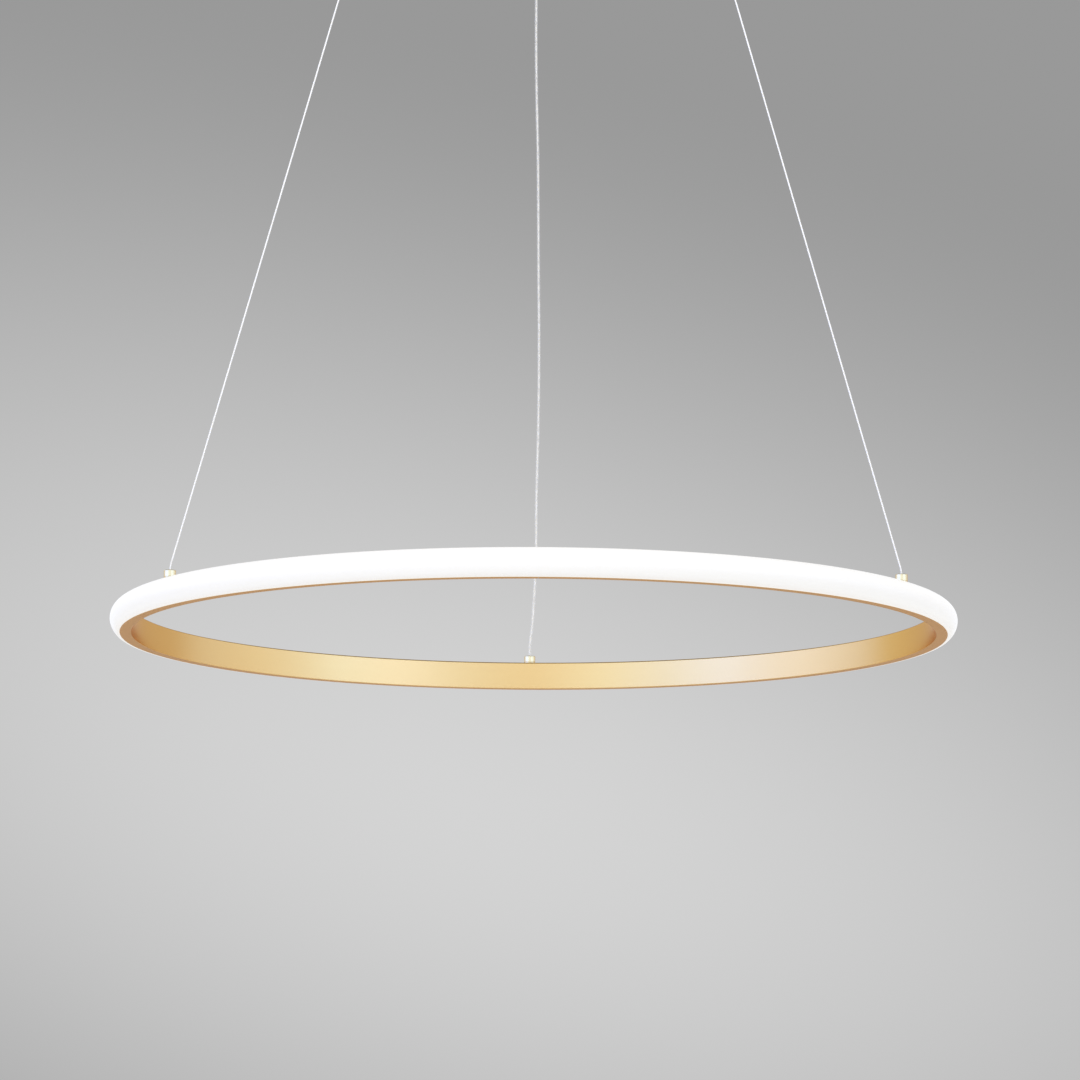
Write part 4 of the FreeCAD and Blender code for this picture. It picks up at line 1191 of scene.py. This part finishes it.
# Studio
@dataclass(frozen=True)
class Card:
    """A large square light and the point that it faces, with its power in watts."""

    name: str
    place: Point
    aim: Point
    width: float
    power: float


@dataclass
class Air:
    """Surroundings, told by direction: a grey glow behind the ring and a bright band in front of it.

    Where two of its parts meet, bounds on a direction's X, Y or Z say how they run into each other.
    """

    glow: Stops = ((0.0, (0.318, 0.318, 0.318)), (1.0, (0.657, 0.657, 0.657)))
    glow_centre: Point = (-0.0017, 1.0, 0.1067)
    glow_turn: Point = (0.0, 0.2423, 0.0)
    glow_reach: Point = (0.311, 1000.0, 0.1366)
    glow_foot: Range = (0.05, 0.0)
    glow_flank: Range = (0.112, 0.17)
    glow_front: Range = (0.95, 0.8)
    low_grey: Colour = (0.6, 0.6, 0.6)
    band: Stops = (
        (0.0, (1.03, 1.26, 2.2)), (0.07, (1.08, 1.5, 3.35)), (0.18, (1.06, 1.39, 2.5)),
        (0.33, (1.1, 1.34, 1.86)), (0.5, (1.02, 1.11, 1.34)), (0.67, (1.02, 1.2, 1.62)),
        (0.82, (1.18, 1.47, 2.3)), (0.93, (1.08, 1.4, 2.18)), (1.0, (0.91, 0.99, 1.18)),
    )
    band_top: Range = (0.28, 0.4)
    band_foot: Range = (0.02, -0.05)
    sides: Stops = ((0.1, (0.75, 0.74, 0.67)), (0.9, (0.69, 0.65, 0.64)))
    sides_start: Range = (-0.05, 0.6)
    far_sides: Stops = ((0.4, (0.74, 0.79, 0.93)), (0.6, (0.73, 0.77, 0.88)))
    far_start: Range = (0.72, 0.95)
    overhead: Colour = (0.25, 0.25, 0.26)
    overhead_start: Range = (0.3, 0.75)

    def __post_init__(self) -> None:
        """Starts an empty world and takes directions apart."""
        world = bpy.data.worlds.new("studio_air")
        bpy.context.scene.world = world
        world.use_nodes = True
        self.tree = world.node_tree
        self.ways = added(self.tree, "TexCoord").outputs["Generated"]
        self.parts = added(self.tree, "SeparateXYZ", Vector=self.ways).outputs

    def build(self) -> None:
        """Lays the band, the room at its sides and the glow over each other."""
        sideways, depth, level = self.parts
        front = self.blend(level, self.band_top, self.across(self.band), self.low_grey)
        front = self.blend(level, self.band_foot, front, self.low_grey)
        room = self.blend(depth, self.sides_start, front, self.across(self.sides))
        room = self.blend(depth, self.far_start, room, self.across(self.far_sides))
        room = self.blend(level, self.overhead_start, room, self.overhead)
        rear = self.blend(level, self.glow_foot, self.glow_behind(), self.low_grey)
        aside = added(self.tree, "Math", Value=sideways)
        aside.operation = "ABSOLUTE"
        rear = self.blend(aside.outputs["Value"], self.glow_flank, rear, room)
        whole = self.blend(depth, self.glow_front, rear, room)
        fill(self.tree, self.tree.nodes["Background"], Color=whole)

    def glow_behind(self) -> Socket:
        """Makes the oval grey glow behind the ring.

        Returns:
            The glow's colour.
        """
        mapping = added(self.tree, "Mapping", Vector=self.ways, Location=self.glow_centre,
                        Rotation=self.glow_turn, Scale=self.glow_reach)
        mapping.vector_type = "TEXTURE"
        oval = added(self.tree, "TexGradient", Vector=mapping.outputs["Vector"])
        oval.gradient_type = "SPHERICAL"
        return colour_ramp(self.tree, oval.outputs["Fac"], self.glow, "EASE")

    def across(self, stops: Stops) -> Socket:
        """Gives colours that run from left to right."""
        return colour_ramp(self.tree, between(self.tree, self.parts["X"], (-1.0, 1.0)), stops)

    def blend(self, value: Socket, bounds: Range, first: Socket, second: Socket | Colour) -> Socket:
        """Lets one colour run into another.

        Args:
            value: the value that tells where.
            bounds: where the first colour ends and where the second one is reached.
            first: the first colour.
            second: the second colour, or a constant one.

        Returns:
            The blended colour.
        """
        node = added(self.tree, "Mix")
        node.data_type = "RGBA"
        fill(self.tree, node, Factor=between(self.tree, value, bounds))
        self.tree.links.new(first, node.inputs[6])
        if isinstance(second, tuple):
            node.inputs[7].default_value = (*second, 1.0)
        else:
            self.tree.links.new(second, node.inputs[7])
        return node.outputs[2]


@dataclass
class Studio:
    """Camera, surroundings, lights and floor."""

    distance: float = 5.1246
    level: float = -1.7877
    pitch: float = 0.1543
    yaw: float = 0.0011
    roll: float = 0.004
    orbit: float = math.radians(-0.57)
    lens: float = 182.37
    film_width: float = 36.0
    sight: Range = (0.05, 60.0)
    cards: tuple[Card, ...] = (
        Card("overhead_card", (-0.5, -3.0, 2.6), (0.0, 0.5, -2.0), 5.0, 160.0),
        Card("rear_card", (2.5, 3.5, 2.4), (0.0, 0.0, -2.0), 4.0, 60.0),
    )
    sky_place: Point = (-0.5, -3.0, 8.0)
    sky_strength: float = 1.05
    sky_width: float = math.radians(60)
    floor_level: float = -2.7
    floor_reach: float = 40.0

    def build(self) -> None:
        """Makes the whole studio."""
        self.camera()
        Air().build()
        for card in self.cards:
            data = bpy.data.lights.new(card.name, "AREA")
            data.shape, data.size, data.energy = "SQUARE", card.width, card.power
            self.lamp(data, card.place, card.aim)
        data = bpy.data.lights.new("skylight", "SUN")
        data.energy, data.angle = self.sky_strength, self.sky_width
        self.lamp(data, self.sky_place, (0.0, 0.0, 0.0))
        self.floor()

    def camera(self) -> None:
        """Sets the camera at the photograph's viewing angle."""
        data = bpy.data.cameras.new("photo_camera")
        data.lens, data.sensor_width = self.lens, self.film_width
        data.clip_start, data.clip_end = self.sight
        place = Matrix.Rotation(self.orbit, 4, "Z") @ Matrix.Translation((0.0, -self.distance, self.level))
        aim = Matrix.Rotation(-self.yaw, 4, "Z") @ Matrix.Rotation(math.pi / 2 + self.pitch, 4, "X")
        camera = shown("photo_camera", data)
        camera.matrix_world = place @ aim @ Matrix.Rotation(self.roll, 4, "Z")
        bpy.context.scene.camera = camera

    def lamp(self, data: bpy.types.Light, place: Point, aim: Point) -> None:
        """Puts up a light that doesn't show in gloss.

        Args:
            data: the light.
            place: where it stands.
            aim: what it points at.
        """
        lamp = shown(data.name, data)
        lamp.location = place
        lamp.visible_glossy = False
        lamp.rotation_mode = "QUATERNION"
        lamp.rotation_quaternion = (Vector(aim) - Vector(place)).to_track_quat("-Z", "Y")

    def floor(self) -> None:
        """Makes the plain pale floor, far below the ring."""
        mesh = bmesh.new()
        bmesh.ops.create_grid(mesh, x_segments=8, y_segments=8, size=self.floor_reach)
        moved(mesh, (0, 0, self.floor_level))
        data = bpy.data.meshes.new("studio_floor")
        mesh.to_mesh(data)
        mesh.free()
        data.materials.append(Recipe("pale_floor", PaleFloor()).material)
        shown("studio_floor", data)


def main() -> None:
    """Makes the studio, the lines, the ring, the cup and the grips in order."""
    logging.basicConfig(level=logging.INFO, format="%(relativeCreated)d ms %(message)s")
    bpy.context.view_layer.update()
    bpy.context.scene.view_settings.view_transform = "Standard"
    finishes = Finishes()
    for assembly in (Studio(), Lines(finishes), Ring(finishes), CeilingCup(finishes), Grips(finishes)):
        assembly.build()
        LOG.info("built: %s", type(assembly).__name__)
    finishes.dress_nodes(frame["record"], frame["nodes"])


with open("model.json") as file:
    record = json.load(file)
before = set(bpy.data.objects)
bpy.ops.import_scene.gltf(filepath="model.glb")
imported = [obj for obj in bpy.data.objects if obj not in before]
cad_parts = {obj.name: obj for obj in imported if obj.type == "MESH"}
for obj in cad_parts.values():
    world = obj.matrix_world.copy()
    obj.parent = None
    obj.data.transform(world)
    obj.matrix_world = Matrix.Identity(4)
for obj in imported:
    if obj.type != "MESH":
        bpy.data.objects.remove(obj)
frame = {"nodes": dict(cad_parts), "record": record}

if __name__ == "__main__":
    main()
